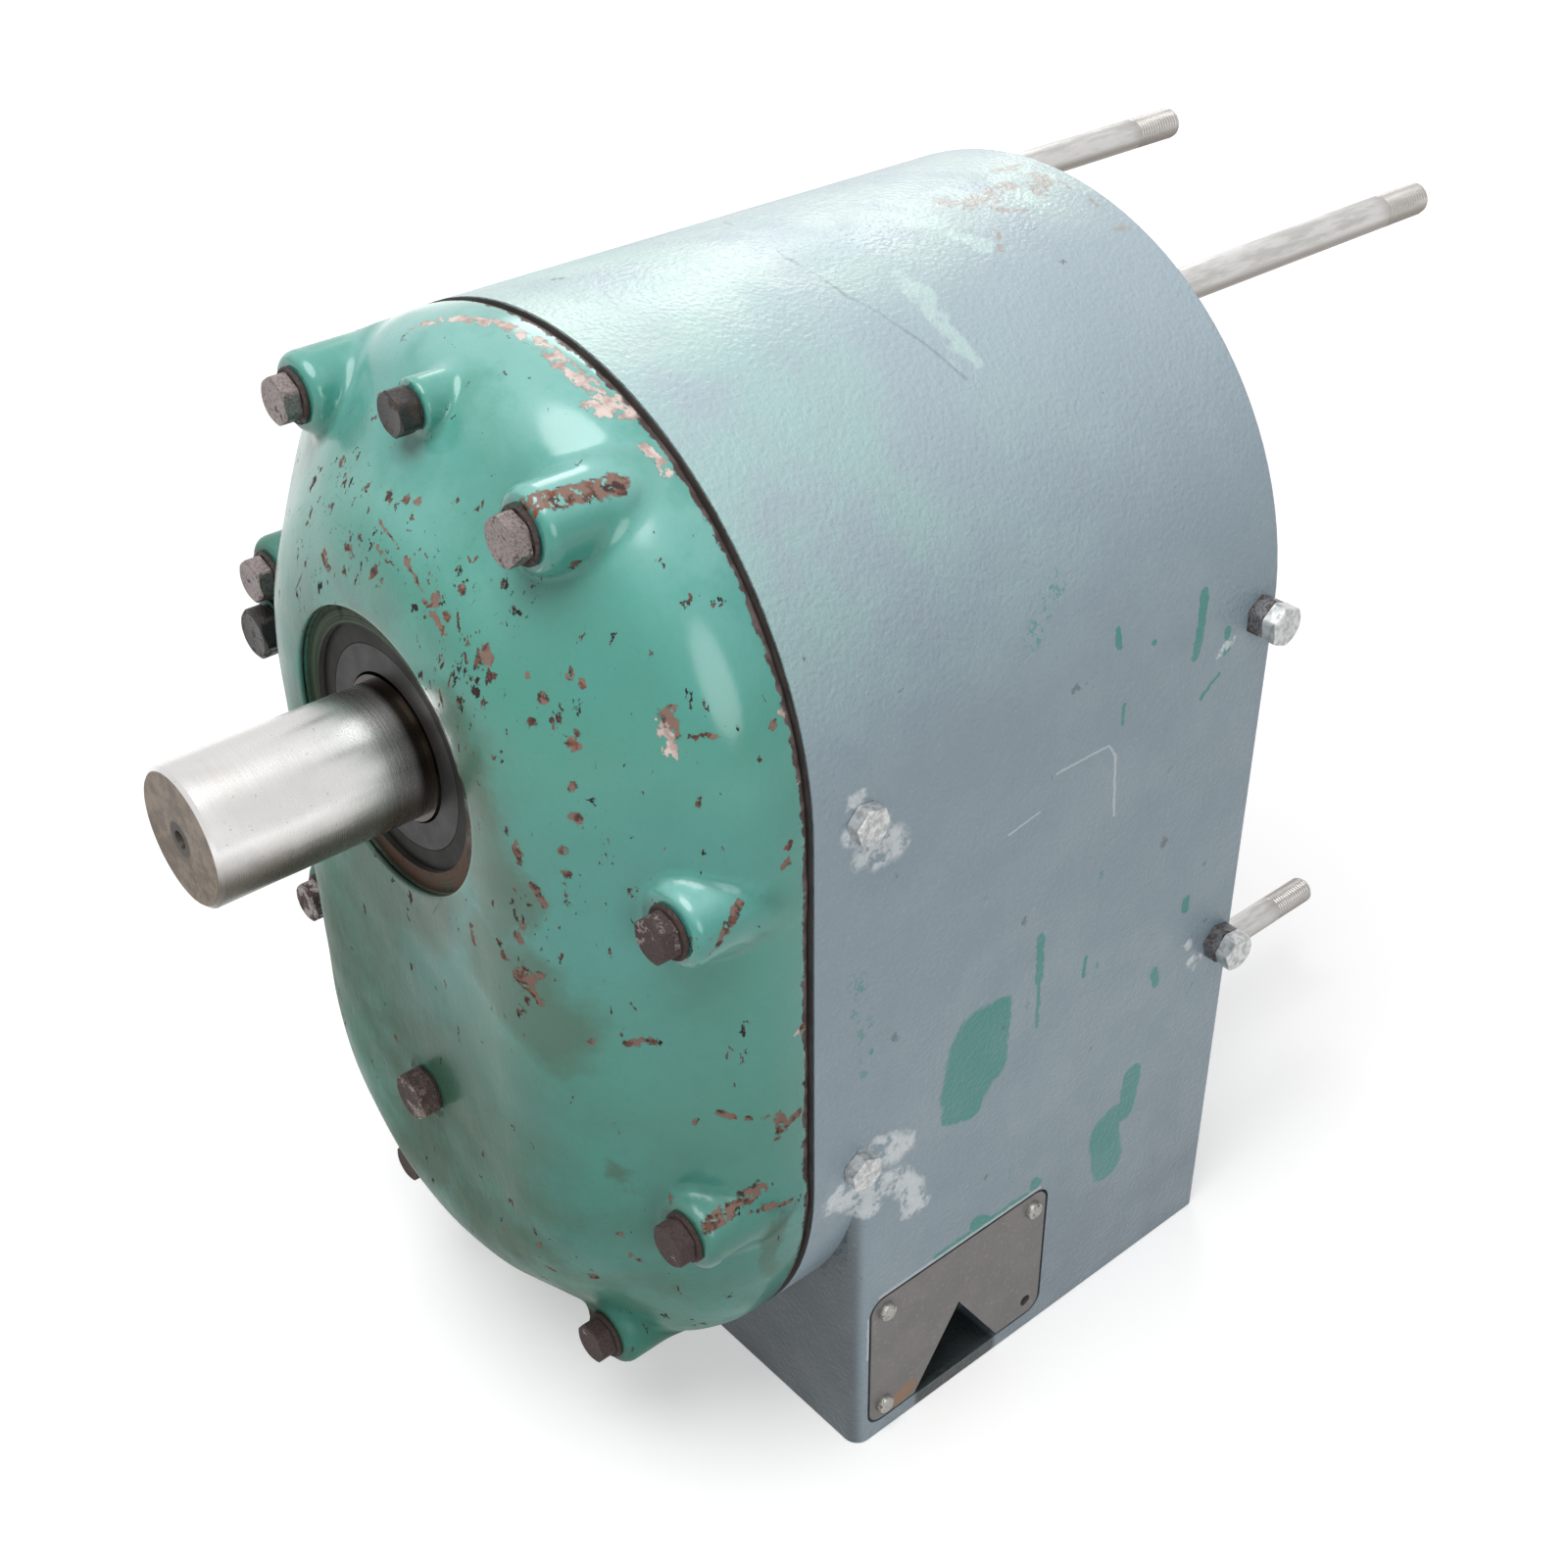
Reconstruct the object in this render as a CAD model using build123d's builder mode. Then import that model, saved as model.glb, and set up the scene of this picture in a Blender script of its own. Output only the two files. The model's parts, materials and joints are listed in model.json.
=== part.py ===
from build123d import *
import os
from math import atan, cos, pi, radians, sin, sqrt, tan

os.makedirs("parts", exist_ok=True)

# Geared electric motor: a domed two-axis gear case bolted to the front of a footed motor casing.
# The output shaft turns on the upper axis, the motor on the lower one. Millimetres.
# Frame: X across the casing, Y from the shaft end to the rear, Z up.
# Origin: the centre of the foot, on the surface that it stands on.

# Casing
half_width = 165.0
neck_rise = 33.5
casing_length = 281.0
foot_setback = 27.0
foot_corner = 8.0
casing_wall = 14.0
edge_round = 3.0
seat_play = 0.05
part_play = 0.3
blind_gap = 3.0

# Gears: spur, in mesh between the two axes
gear_module = 4.0
gear_clearance = 3.0
pinion_teeth = 31
pressure_angle = 20.0
tooth_top = gear_module
tooth_foot = 1.25 * gear_module
backlash = 0.3
gear_width = 38.0
pinion_extra = 2.0
gear_hub_radius = 52.0
gear_rim = 16.0
gear_web = 14.0
web_holes = 6
web_hole_radius = 15.0

# Gear case cover: a rim wall, a straight slope and a flat face, blended into each other
cover_depth = 88.0
cover_wall = 10.0
shoulder_height = 31.0
face_margin = 25.0
rim_blend = 45.0
face_blend = 70.0
gasket_thickness = 1.5

# Cover bolts: four long tie bolts through the whole casing, with rods screwed on their rear ends,
# and four short ones
bolt_inset = 18.0
tie_bolt_angle = 33.0
side_bolt_drop = 22.5
side_bolt_rise = 10.0
left_bolt_rise = 9.5
right_bolt_drop = 4.0
bolt_radius = 6.0
bolt_clearance = 0.5
head_across_flats = 19.0
head_height = 8.0
washer_radius = 12.0
washer_thickness = 2.5
boss_radius = 17.5
boss_depth = 57.0
upper_boss_depth = 64.5
column_radius = 15.0
short_bolt_grip = 16.0
short_bolt_column = 36.0
tie_bolt_reach = 22.0
rod_radius = 8.0
rod_length = 192.0
rod_front_chamfer = 1.0
rod_end_chamfer = 2.0
column_rib = 10.0

# Plugs in the cover: filler at the top, level plug on the left side, bearing plug on the lower axis
filler_inset = 22.0
filler_depth = 57.5
filler_across_flats = 17.0
level_inset = 18.0
level_drop = 16.5
level_depth = 60.0
level_across_flats = 22.0
bearing_plug_across_flats = 22.0
bearing_plug_seat = 2.5
filler_thread_radius = 7.0
level_thread_radius = 9.0
bearing_plug_thread_radius = 9.0
plug_head = 9.0
plug_seal_thickness = 1.5
plug_thread_length = 14.0
plug_boss_margin = 3.0

# Side bolts: they hold the bearing plate and the rear end cover inside the casing
plate_bolt_radius = 5.0
plate_bolt_flats = 16.0
plate_bolt_head = 7.0
rear_bolt_radius = 6.0
rear_bolt_flats = 18.0
rear_bolt_head = 8.0
rear_nut_height = 8.0
nut_turn = 30.0
side_bolt_grip = 28.0
lower_bolt_drop = 4.0

# Output shaft, its bearings and seal
shaft_radius = 30.0
seat_radius = 32.5
seat_lead = 1.0
shaft_reach = 181.0
shaft_chamfer = 2.0
gear_seat_radius = 35.0
centre_hole_radius = 4.0
centre_hole_depth = 9.0
centre_hole_taper = 20.0
shaft_tail = 2.5
key_width = 20.0
key_height = 12.0
key_depth_in_shaft = 7.5
key_length = 34.0
ring_thickness = 2.5
ring_depth = 2.0
ring_rim = 5.0
output_bearing = dict(bore=32.5, outer=60.0, width=23.0, ball=8.33, count=10)
seal_radius = 55.0
seal_width = 12.0
seal_to_bearing = 2.5
seal_recess = 4.0
seal_case_wall = 2.0
seal_rubber = 7.0
seal_case_lip = 9.0
lip_play = 0.05
lip_relief = 1.0
lip_edge = 2.0
hub_ring_radius = 64.0
hub_ring_step = 1.5
hub_wall = 12.0
hub_tail = 5.0
bearing_lip_height = 6.0

# Motor: shaft with the pinion cut on it, rotor, stator and bearings
motor_bearing = dict(bore=25.0, outer=45.0, width=20.0, ball=6.35, count=10)
motor_seal_width = 8.0
plate_setback = 12.0
plate_thickness = 27.0
plate_hub_length = 11.0
bearing_setback = 4.0
blind_web = 4.0
gear_to_plate = 12.0
pinion_collar_radius = 31.0
rotor_seat_radius = 28.0
air_gap = 0.75
rotor_radius = 74.25
core_length = 110.0
core_setback = 98.0
cage_ring_length = 12.0
cage_ring_inner = 42.0
cage_ring_inset = 0.75
cage_bars = 22
cage_bar_radius = 3.0
cage_bar_inset = 5.0
stator_to_bolts = 22.0
slot_count = 24
slot_depth = 24.0
slot_width = 11.0
slot_mouth = 3.0
tooth_tip = 4.0
coil_overhang = 33.0
coil_thickness = 26.0
coil_round = 9.0
slot_liner = 0.5
sleeve_wall = 12.0
sleeve_overlap = 6.0
sleeve_rib = 16.0

# Rear end cover, dished like the bearing plate
end_cover_thickness = 24.0
end_hub_outside = 8.0
preload_ring = 2.0
rim_width = 22.0
web_thickness = 10.0
hub_rib = 12.0

# Terminal chamber in the right side of the foot, with its notched plate
plate_from_seam = 36.0
plate_length = 119.0
plate_height = 86.0
plate_base = 10.0
plate_sheet = 3.0
plate_gasket = 1.0
plate_corner = 8.0
plate_margin = 1.5
notch_height = 45.6
notch_half_angle = 32.5
plate_screw_inset = 9.5
plate_screw_radius = 3.0
plate_screw_head_radius = 5.0
plate_screw_head = 3.5
plate_screw_grip = 12.0
chamber_margin = 12.0
chamber_depth = 60.0
chamber_floor = 24.0
chamber_wall = 8.0
trough_floor = 8.0
trough_depth = 26.0
trough_half_length = 36.0
lead_hole_radius = 11.0
lead_hole_height = 38.0
block_length = 66.0
block_height = 24.0
block_depth = 12.0
stud_radius = 2.5
stud_reach = 12.0
stud_pitch = 21.0
stud_row_pitch = 12.0
stud_nut_flats = 8.0
stud_nut_height = 4.0

# The case's own radii, the largest gear that clears the bosses, and the two axes
inner_radius = half_width - casing_wall
bolt_pitch_radius = half_width - bolt_inset
slope_width = half_width - hub_ring_radius - face_margin
stator_radius = bolt_pitch_radius - stator_to_bolts
gear_teeth = int(2 * (bolt_pitch_radius - boss_radius - gear_clearance) / gear_module) - 2
gear_root = gear_module * gear_teeth / 2 - tooth_foot
axis_spacing = gear_module * (gear_teeth + pinion_teeth) / 2
lower_axis = neck_rise + half_width
upper_axis = lower_axis + axis_spacing

# Stations along Y, from the seam between cover and casing
seam = -(foot_setback + casing_length) / 2
rear = seam + casing_length
foot_front = seam + foot_setback
neck_end = foot_front + casing_wall
cover_rear = seam - gasket_thickness
cover_face = seam - cover_depth
boss_face = seam - boss_depth
upper_boss_face = seam - upper_boss_depth
plate_front = seam + plate_setback
plate_rear = plate_front + plate_thickness
plate_hub_rear = plate_rear + plate_hub_length
gear_rear = plate_front - gear_to_plate
gear_front = gear_rear - gear_width
seal_front = cover_face + seal_recess
seal_rear = seal_front + seal_width
front_bearing_front = seal_rear + seal_to_bearing
front_bearing_rear = front_bearing_front + output_bearing["width"]
back_bearing_front = plate_front + bearing_setback
back_bearing_rear = back_bearing_front + output_bearing["width"]
core_front = seam + core_setback
core_rear = core_front + core_length
end_cover_front = rear - end_cover_thickness
end_bearing_rear = rear - preload_ring
end_bearing_front = end_bearing_rear - motor_bearing["width"]

tie_across = bolt_pitch_radius * sin(radians(tie_bolt_angle))
tie_along = bolt_pitch_radius * cos(radians(tie_bolt_angle))
tie_spots = [(side * tie_across, height) for height in (upper_axis + tie_along, lower_axis - tie_along)
             for side in (-1, 1)]
boss_rows = [(upper_boss_face, tie_spots[:2]), (boss_face, tie_spots[2:])]
short_spots = [(-bolt_pitch_radius, upper_axis + side_bolt_rise),
               (bolt_pitch_radius, upper_axis - side_bolt_drop),
               (-bolt_pitch_radius, lower_axis + left_bolt_rise),
               (bolt_pitch_radius, lower_axis - right_bolt_drop)]
filler_spot = (0, upper_axis + half_width - filler_inset)
level_spot = (level_inset - half_width, upper_axis - level_drop)
side_heights = (upper_axis, lower_axis - lower_bolt_drop)
plate_bolt_station = (plate_front + plate_rear) / 2
rear_bolt_station = (end_cover_front + rear) / 2

plate_centre = (seam + plate_from_seam + plate_length / 2, plate_base + plate_height / 2)
plate_recess = plate_sheet + plate_gasket
chamber_length = plate_length - 2 * chamber_margin
chamber_top = plate_base + plate_height - chamber_margin
chamber_back = half_width - chamber_depth
screw_along = plate_length / 2 - plate_screw_inset
screw_up = plate_height / 2 - plate_screw_inset
plate_screw_spots = [(plate_centre[0] + along * screw_along, plate_centre[1] + up * screw_up)
                     for along in (-1, 1) for up in (-1, 1)]


def facing_front(y):
    """Sketch plane at station y: local x is X, local y is Z, and it faces the shaft end."""
    return Plane.XZ.offset(-y)


def facing_right(x):
    """Sketch plane at a distance x across the casing: local x is Y, local y is Z."""
    return Plane.YZ.offset(x)


def stadium(radius):
    """Two-axis outline: half circles round the two axes, joined by straight sides."""
    with BuildSketch() as outline:
        with Locations((0, (upper_axis + lower_axis) / 2)):
            SlotCenterToCenter(axis_spacing, 2 * radius, rotation=90)
    return outline.sketch


def arch(radius, floor):
    """The stadium with its lower end squared off down to a floor."""
    with BuildSketch() as outline:
        add(stadium(radius))
        with Locations((0, floor)):
            Rectangle(2 * radius, lower_axis - floor, align=(Align.CENTER, Align.MIN))
        with Locations((0, lower_axis)):
            Rectangle(2 * radius, axis_spacing, align=(Align.CENTER, Align.MIN))
    return outline.sketch


def plate_outline(margin=0.0):
    """Rounded rectangle of the terminal plate, in the YZ plane."""
    with BuildSketch() as outline:
        with Locations(plate_centre):
            RectangleRounded(plate_length + 2 * margin, plate_height + 2 * margin, plate_corner + margin)
    return outline.sketch


def cable_notch(margin=0.0):
    """V cut up from the lower edge of the terminal plate."""
    half_base = notch_height * tan(radians(notch_half_angle)) + margin
    middle = plate_centre[0]
    with BuildSketch() as outline:
        with BuildLine():
            Polyline((middle - half_base, 0), (middle - half_base, plate_base),
                     (middle, plate_base + notch_height + margin), (middle + half_base, plate_base),
                     (middle + half_base, 0), close=True)
        make_face()
    return outline.sketch


def dome_section(inset, back):
    """Half section of the cover's dome, in the XY plane about the Y axis."""
    slope_height = cover_depth - shoulder_height
    face_turn = atan(slope_height / slope_width)
    rim_turn = pi / 2 - face_turn
    corner = shoulder_height - inset * tan(rim_turn / 2)
    face_radius = half_width - slope_width - inset * tan(face_turn / 2)
    rim = half_width - inset
    with BuildSketch() as section:
        with BuildLine():
            Polyline((0, back), (rim, back), (rim, seam - corner),
                     (face_radius, seam - cover_depth + inset), (0, seam - cover_depth + inset), close=True)
        make_face()
        shoulder = section.vertices().group_by(Axis.X)[-1].sort_by(Axis.Y)[0]
        fillet(shoulder, rim_blend - inset)
        face_edge = section.vertices().group_by(Axis.Y)[0].sort_by(Axis.X)[-1]
        fillet(face_edge, face_blend - inset)
    return section.sketch


def dome(inset, back):
    """Domed solid over the stadium: half a revolve at each axis and a straight run between."""
    half = dome_section(inset, back)
    with BuildPart() as solid:
        for height, way in ((upper_axis, -1), (lower_axis, 1)):
            with BuildSketch(Plane.XY.offset(height)):
                add(half)
            revolve(axis=Axis((0, 0, height), (0, way, 0)), revolution_arc=180)
        with BuildSketch(Plane.XY.offset(lower_axis)):
            add(half)
            mirror(half, about=Plane.YZ)
        extrude(amount=axis_spacing)
    return solid.part


def finish(piece, name):
    """Label a piece and write it as its own STEP file."""
    piece.label = name
    export_step(piece, f"parts/{name}.step")


def ring(name, inner, outer, height, front, back, bevel=0.0):
    """Plain ring round an axis along Y, written as its own piece."""
    with BuildPart() as piece:
        with BuildSketch(facing_front(back)):
            with Locations((0, height)):
                Circle(outer)
                Circle(inner, mode=Mode.SUBTRACT)
        extrude(amount=back - front)
        if bevel:
            chamfer(piece.edges().filter_by(GeomType.CIRCLE), bevel)
    finish(piece.part, name)


def ball_bearing(name, size, height, front):
    """Deep groove ball bearing: outer race, inner race and balls, each its own piece."""
    middle = front + size["width"] / 2
    pitch = (size["bore"] + size["outer"]) / 2
    land = size["ball"] / 2
    for race, inner, outer in (("outer_race", pitch + land, size["outer"] - seat_play),
                               ("inner_race", size["bore"] + seat_play, pitch - land)):
        with BuildPart() as piece:
            with BuildSketch(Plane.XY.offset(height)):
                with Locations(((inner + outer) / 2, middle)):
                    Rectangle(outer - inner, size["width"])
                with Locations((pitch, middle)):
                    Circle(size["ball"] + part_play, mode=Mode.SUBTRACT)
            revolve(axis=Axis((0, 0, height), (0, 1, 0)))
        finish(piece.part, f"{name}_{race}")
    with BuildPart(facing_front(middle)) as balls:
        with Locations((0, height)):
            with PolarLocations(pitch, size["count"]):
                Sphere(size["ball"])
    finish(balls.part, f"{name}_balls")


def involute_gear(teeth, start_angle):
    """Outline of a spur gear with involute flanks and flat roots, centred on the sketch origin."""
    pitch = gear_module * teeth / 2
    base = pitch * cos(radians(pressure_angle))
    tip = pitch + tooth_top
    root = pitch - tooth_foot
    start = max(base, root)

    def unwound(radius):
        turn = sqrt(max((radius / base) ** 2 - 1, 0))
        return turn - atan(turn)

    half_tooth = (pi * gear_module / 2 - backlash) / 2 / pitch + unwound(pitch)

    def flank(radius, side, middle):
        turn = middle + side * (half_tooth - unwound(max(radius, start)))
        return (radius * cos(turn), radius * sin(turn))

    with BuildSketch() as outline:
        with BuildLine():
            for tooth in range(teeth):
                middle = radians(start_angle) + 2 * pi * tooth / teeth
                following = middle + 2 * pi / teeth
                left = [flank(radius, -1, middle) for radius in (start, (start + tip) / 2, tip)]
                right = [flank(radius, 1, middle) for radius in (tip, (start + tip) / 2, start)]
                if start > root:
                    Line(flank(root, -1, middle), left[0])
                ThreePointArc(*left)
                Line(left[-1], right[0])
                ThreePointArc(*right)
                if start > root:
                    Line(right[-1], flank(root, 1, middle))
                Line(flank(root, 1, middle), flank(root, -1, following))
        make_face()
    return outline.sketch


def bolts(name, plane_at, rows, end, radius, flats, head, both_sides=False):
    """Hexagon head bolts: in each row the heads stand out of the row's face, and all shanks stop at `end`."""
    with BuildPart() as group:
        for face, spots in rows:
            with BuildSketch(plane_at(face)):
                with Locations(*spots):
                    RegularPolygon(flats / 2, 6, major_radius=False)
            extrude(amount=head)
            with BuildSketch(plane_at(face)):
                with Locations(*spots):
                    Circle(radius)
            extrude(amount=-abs(end - face))
        outward = Axis(plane_at(end).origin, plane_at(end).z_dir)
        ends = group.edges().filter_by(GeomType.CIRCLE).sort_by(outward)
        chamfer(ends[:sum(len(spots) for face, spots in rows)], radius / 4)
        if both_sides:
            mirror(about=Plane.YZ)
    finish(group.part, name)


def washers(name, plane_at, rows, inner, outer, thickness):
    """Flat washers: in each row they lie on the row's face."""
    with BuildPart() as group:
        for face, spots in rows:
            with BuildSketch(plane_at(face)):
                with Locations(*spots):
                    Circle(outer)
                    Circle(inner, mode=Mode.SUBTRACT)
            extrude(amount=thickness)
    finish(group.part, name)


def plug(name, spot, face, flats, thread_radius):
    """Hexagon head plug in the cover and the sealing ring under its head."""
    washers(f"{name}_seal", facing_front, [(face, [spot])], thread_radius + seat_play, flats / 2,
            plug_seal_thickness)
    head_face = face - plug_seal_thickness
    bolts(name, facing_front, [(head_face, [spot])], head_face + plug_thread_length, thread_radius, flats,
          plug_head)


# ---------------------------------------------------------------- casing
with BuildPart() as body_casing:
    with BuildSketch(facing_front(rear)):
        add(stadium(half_width))
    extrude(amount=casing_length)
    with BuildSketch(Plane.XY) as foot:
        with Locations((0, (foot_front + rear) / 2)):
            Rectangle(2 * half_width, rear - foot_front)
        fillet(foot.vertices().group_by(Axis.Y)[0], foot_corner)
    extrude(amount=lower_axis)
    rear_rim = body_casing.faces().sort_by(Axis.Y)[-1].outer_wire().edges()
    fillet(rear_rim, edge_round)
    # hollow: a two-axis neck in front, squared off behind the foot's front wall
    with BuildSketch(facing_front(neck_end)):
        add(stadium(inner_radius))
    extrude(amount=neck_end - seam, mode=Mode.SUBTRACT)
    with BuildSketch(facing_front(rear)):
        add(arch(inner_radius, casing_wall))
    extrude(amount=rear - neck_end, mode=Mode.SUBTRACT)
    # columns for the bolts, with a rib under each lower one
    with BuildSketch(facing_front(rear)):
        with Locations(*tie_spots):
            Circle(column_radius)
    extrude(amount=rear - seam)
    with BuildSketch(facing_front(end_cover_front)):
        for across, height in tie_spots[2:]:
            with Locations((across, casing_wall)):
                Rectangle(column_rib, height - casing_wall, align=(Align.CENTER, Align.MIN))
    extrude(amount=end_cover_front - neck_end)
    with BuildSketch(facing_front(seam + short_bolt_column)):
        with Locations(*short_spots):
            Circle(column_radius)
    extrude(amount=short_bolt_column)
    # sleeve that holds the stator, tied to the side walls
    with BuildSketch(facing_front(core_rear + sleeve_overlap)):
        with Locations((0, lower_axis)):
            Circle(stator_radius + sleeve_wall)
            Rectangle(2 * inner_radius, sleeve_rib)
    extrude(amount=core_length + 2 * sleeve_overlap)
    with BuildSketch(facing_front(core_rear + sleeve_overlap)):
        with Locations((0, lower_axis)):
            Circle(stator_radius + seat_play)
    extrude(amount=core_length + 2 * sleeve_overlap, mode=Mode.SUBTRACT)
    # terminal chamber: a walled box in the right side of the foot
    with BuildSketch(Plane.XY.offset(casing_wall)):
        with Locations((chamber_back - chamber_wall, plate_centre[0])):
            Rectangle(inner_radius - chamber_back + chamber_wall, chamber_length + 2 * chamber_wall,
                      align=(Align.MIN, Align.CENTER))
    extrude(amount=chamber_top + chamber_wall - casing_wall)
    with BuildSketch(facing_right(half_width)):
        add(plate_outline(plate_margin))
    extrude(amount=-plate_recess, mode=Mode.SUBTRACT)
    with BuildSketch(facing_right(half_width)):
        with Locations((plate_centre[0], (chamber_floor + chamber_top) / 2)):
            Rectangle(chamber_length, chamber_top - chamber_floor)
    extrude(amount=-chamber_depth, mode=Mode.SUBTRACT)
    with BuildSketch(facing_right(half_width - plate_recess)):
        with Locations((plate_centre[0], (trough_floor + chamber_floor) / 2)):
            Rectangle(2 * trough_half_length, chamber_floor - trough_floor)
    extrude(amount=plate_recess - trough_depth, mode=Mode.SUBTRACT)
    with BuildSketch(facing_right(chamber_back)):
        with Locations((plate_centre[0], lead_hole_height)):
            Circle(lead_hole_radius)
    extrude(amount=-chamber_wall, mode=Mode.SUBTRACT)
    # bolt holes
    with BuildSketch(facing_front(rear)):
        with Locations(*tie_spots):
            Circle(bolt_radius + bolt_clearance)
    extrude(amount=rear - seam, mode=Mode.SUBTRACT)
    with BuildSketch(facing_front(seam + short_bolt_grip + blind_gap)):
        with Locations(*short_spots):
            Circle(bolt_radius + seat_play)
    extrude(amount=short_bolt_grip + blind_gap, mode=Mode.SUBTRACT)
    for station, radius in ((plate_bolt_station, plate_bolt_radius), (rear_bolt_station, rear_bolt_radius)):
        with BuildSketch(facing_right(half_width)):
            with Locations(*[(station, height) for height in side_heights]):
                Circle(radius + bolt_clearance)
        extrude(amount=-2 * half_width, mode=Mode.SUBTRACT)
    with BuildSketch(facing_right(half_width - plate_recess)):
        with Locations(*plate_screw_spots):
            Circle(plate_screw_radius + seat_play)
    extrude(amount=-plate_screw_grip - blind_gap, mode=Mode.SUBTRACT)
finish(body_casing.part, "body_casing")

# ---------------------------------------------------------------- gear case cover
plug_seats = [(filler_spot, filler_depth, filler_across_flats, filler_thread_radius),
              (level_spot, level_depth, level_across_flats, level_thread_radius)]
with BuildPart() as gear_case_cover:
    add(dome(0, cover_rear))
    for face, spots in boss_rows:
        with BuildSketch(facing_front(cover_rear)):
            with Locations(*spots):
                Circle(boss_radius)
        extrude(amount=cover_rear - face)
    for spot, depth, flats, thread_radius in plug_seats:
        with BuildSketch(facing_front(cover_rear)):
            with Locations(spot):
                Circle(flats / 2 + plug_boss_margin)
        extrude(amount=cover_rear - seam + depth)
        with BuildSketch(facing_front(seam - depth)):
            with Locations(spot):
                Circle(flats / 2 + plug_boss_margin)
        extrude(amount=cover_depth - depth, mode=Mode.SUBTRACT)
    add(dome(cover_wall, seam), mode=Mode.SUBTRACT)
    # solid bosses and bearing hub inside the dome, and the bearing plug's seat outside
    for face, spots in boss_rows:
        with BuildSketch(facing_front(cover_rear)):
            with Locations(*spots):
                Circle(boss_radius)
        extrude(amount=cover_rear - face)
    with BuildSketch(facing_front(cover_face + cover_wall)):
        with Locations((0, lower_axis)):
            Circle(bearing_plug_across_flats / 2 + plug_boss_margin)
    extrude(amount=cover_wall + bearing_plug_seat)
    hub_rear = front_bearing_rear + hub_tail
    with BuildSketch(facing_front(hub_rear)):
        with Locations((0, upper_axis)):
            Circle(output_bearing["outer"] + hub_wall)
    extrude(amount=hub_rear - cover_face - cover_wall)
    # seal bore, the bearing's bore behind its shoulder, and the snap ring's groove
    for front, back, radius in ((cover_face, front_bearing_front, seal_radius),
                                (front_bearing_front, hub_rear, output_bearing["outer"]),
                                (front_bearing_rear, front_bearing_rear + ring_thickness,
                                 output_bearing["outer"] + ring_depth)):
        with BuildSketch(facing_front(back)):
            with Locations((0, upper_axis)):
                Circle(radius)
        extrude(amount=back - front, mode=Mode.SUBTRACT)
    with BuildSketch(facing_front(cover_face + hub_ring_step)):
        with Locations((0, upper_axis)):
            Circle(hub_ring_radius)
    extrude(amount=hub_ring_step, mode=Mode.SUBTRACT)
    # bolt and plug holes
    with BuildSketch(facing_front(cover_rear)):
        with Locations(*tie_spots, *short_spots):
            Circle(bolt_radius + bolt_clearance)
    extrude(amount=cover_rear - upper_boss_face, mode=Mode.SUBTRACT)
    for spot, depth, flats, thread_radius in plug_seats:
        with BuildSketch(facing_front(cover_rear)):
            with Locations(spot):
                Circle(thread_radius + seat_play)
        extrude(amount=cover_rear - seam + depth, mode=Mode.SUBTRACT)
    with BuildSketch(facing_front(cover_face + cover_wall)):
        with Locations((0, lower_axis)):
            Circle(bearing_plug_thread_radius + seat_play)
    extrude(amount=cover_wall + bearing_plug_seat, mode=Mode.SUBTRACT)
finish(gear_case_cover.part, "gear_case_cover")

with BuildPart() as cover_gasket:
    with BuildSketch(facing_front(seam)):
        add(stadium(half_width))
        add(stadium(inner_radius), mode=Mode.SUBTRACT)
        with Locations(*tie_spots, *short_spots):
            Circle(column_radius)
        with Locations(*tie_spots, *short_spots):
            Circle(bolt_radius + bolt_clearance, mode=Mode.SUBTRACT)
    extrude(amount=gasket_thickness)
finish(cover_gasket.part, "cover_gasket")

# ---------------------------------------------------------------- inner plates
with BuildPart() as bearing_plate:
    with BuildSketch(facing_front(plate_rear)):
        add(stadium(inner_radius - seat_play))
        with Locations(*tie_spots, *short_spots):
            Circle(column_radius + part_play, mode=Mode.SUBTRACT)
    extrude(amount=plate_thickness)
    # dished from the rear, with hubs and a rib left standing
    with BuildSketch(facing_front(plate_rear)):
        add(stadium(inner_radius - rim_width))
        with Locations(*tie_spots, *short_spots):
            Circle(column_radius + web_thickness, mode=Mode.SUBTRACT)
        Rectangle(hub_rib, 4 * upper_axis, mode=Mode.SUBTRACT)
    extrude(amount=plate_thickness - web_thickness, mode=Mode.SUBTRACT)
    with BuildSketch(facing_front(plate_hub_rear)):
        with Locations((0, upper_axis)):
            Circle(output_bearing["outer"] + hub_wall)
        with Locations((0, lower_axis)):
            Circle(motor_bearing["outer"] + hub_wall)
    extrude(amount=plate_hub_rear - plate_front)
    # output bearing: a blind pocket with a lip behind the outer race
    with BuildSketch(facing_front(back_bearing_rear)):
        with Locations((0, upper_axis)):
            Circle(output_bearing["outer"])
        with Locations((0, lower_axis)):
            Circle(motor_bearing["outer"])
    extrude(amount=back_bearing_rear - plate_front, mode=Mode.SUBTRACT)
    with BuildSketch(facing_front(plate_hub_rear - blind_web)):
        with Locations((0, upper_axis)):
            Circle(output_bearing["outer"] - bearing_lip_height)
    extrude(amount=plate_hub_rear - blind_web - back_bearing_rear, mode=Mode.SUBTRACT)
    # motor shaft: a step for the bearing, then the seal seat
    with BuildSketch(facing_front(plate_hub_rear)):
        with Locations((0, lower_axis)):
            Circle(motor_bearing["outer"] - bearing_lip_height)
    extrude(amount=plate_hub_rear - back_bearing_front, mode=Mode.SUBTRACT)
    for side in (-1, 1):
        with BuildSketch(facing_right(side * inner_radius)):
            with Locations(*[(plate_bolt_station, height) for height in side_heights]):
                Circle(plate_bolt_radius + seat_play)
        extrude(amount=-side * side_bolt_grip, mode=Mode.SUBTRACT)
finish(bearing_plate.part, "bearing_plate")

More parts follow.
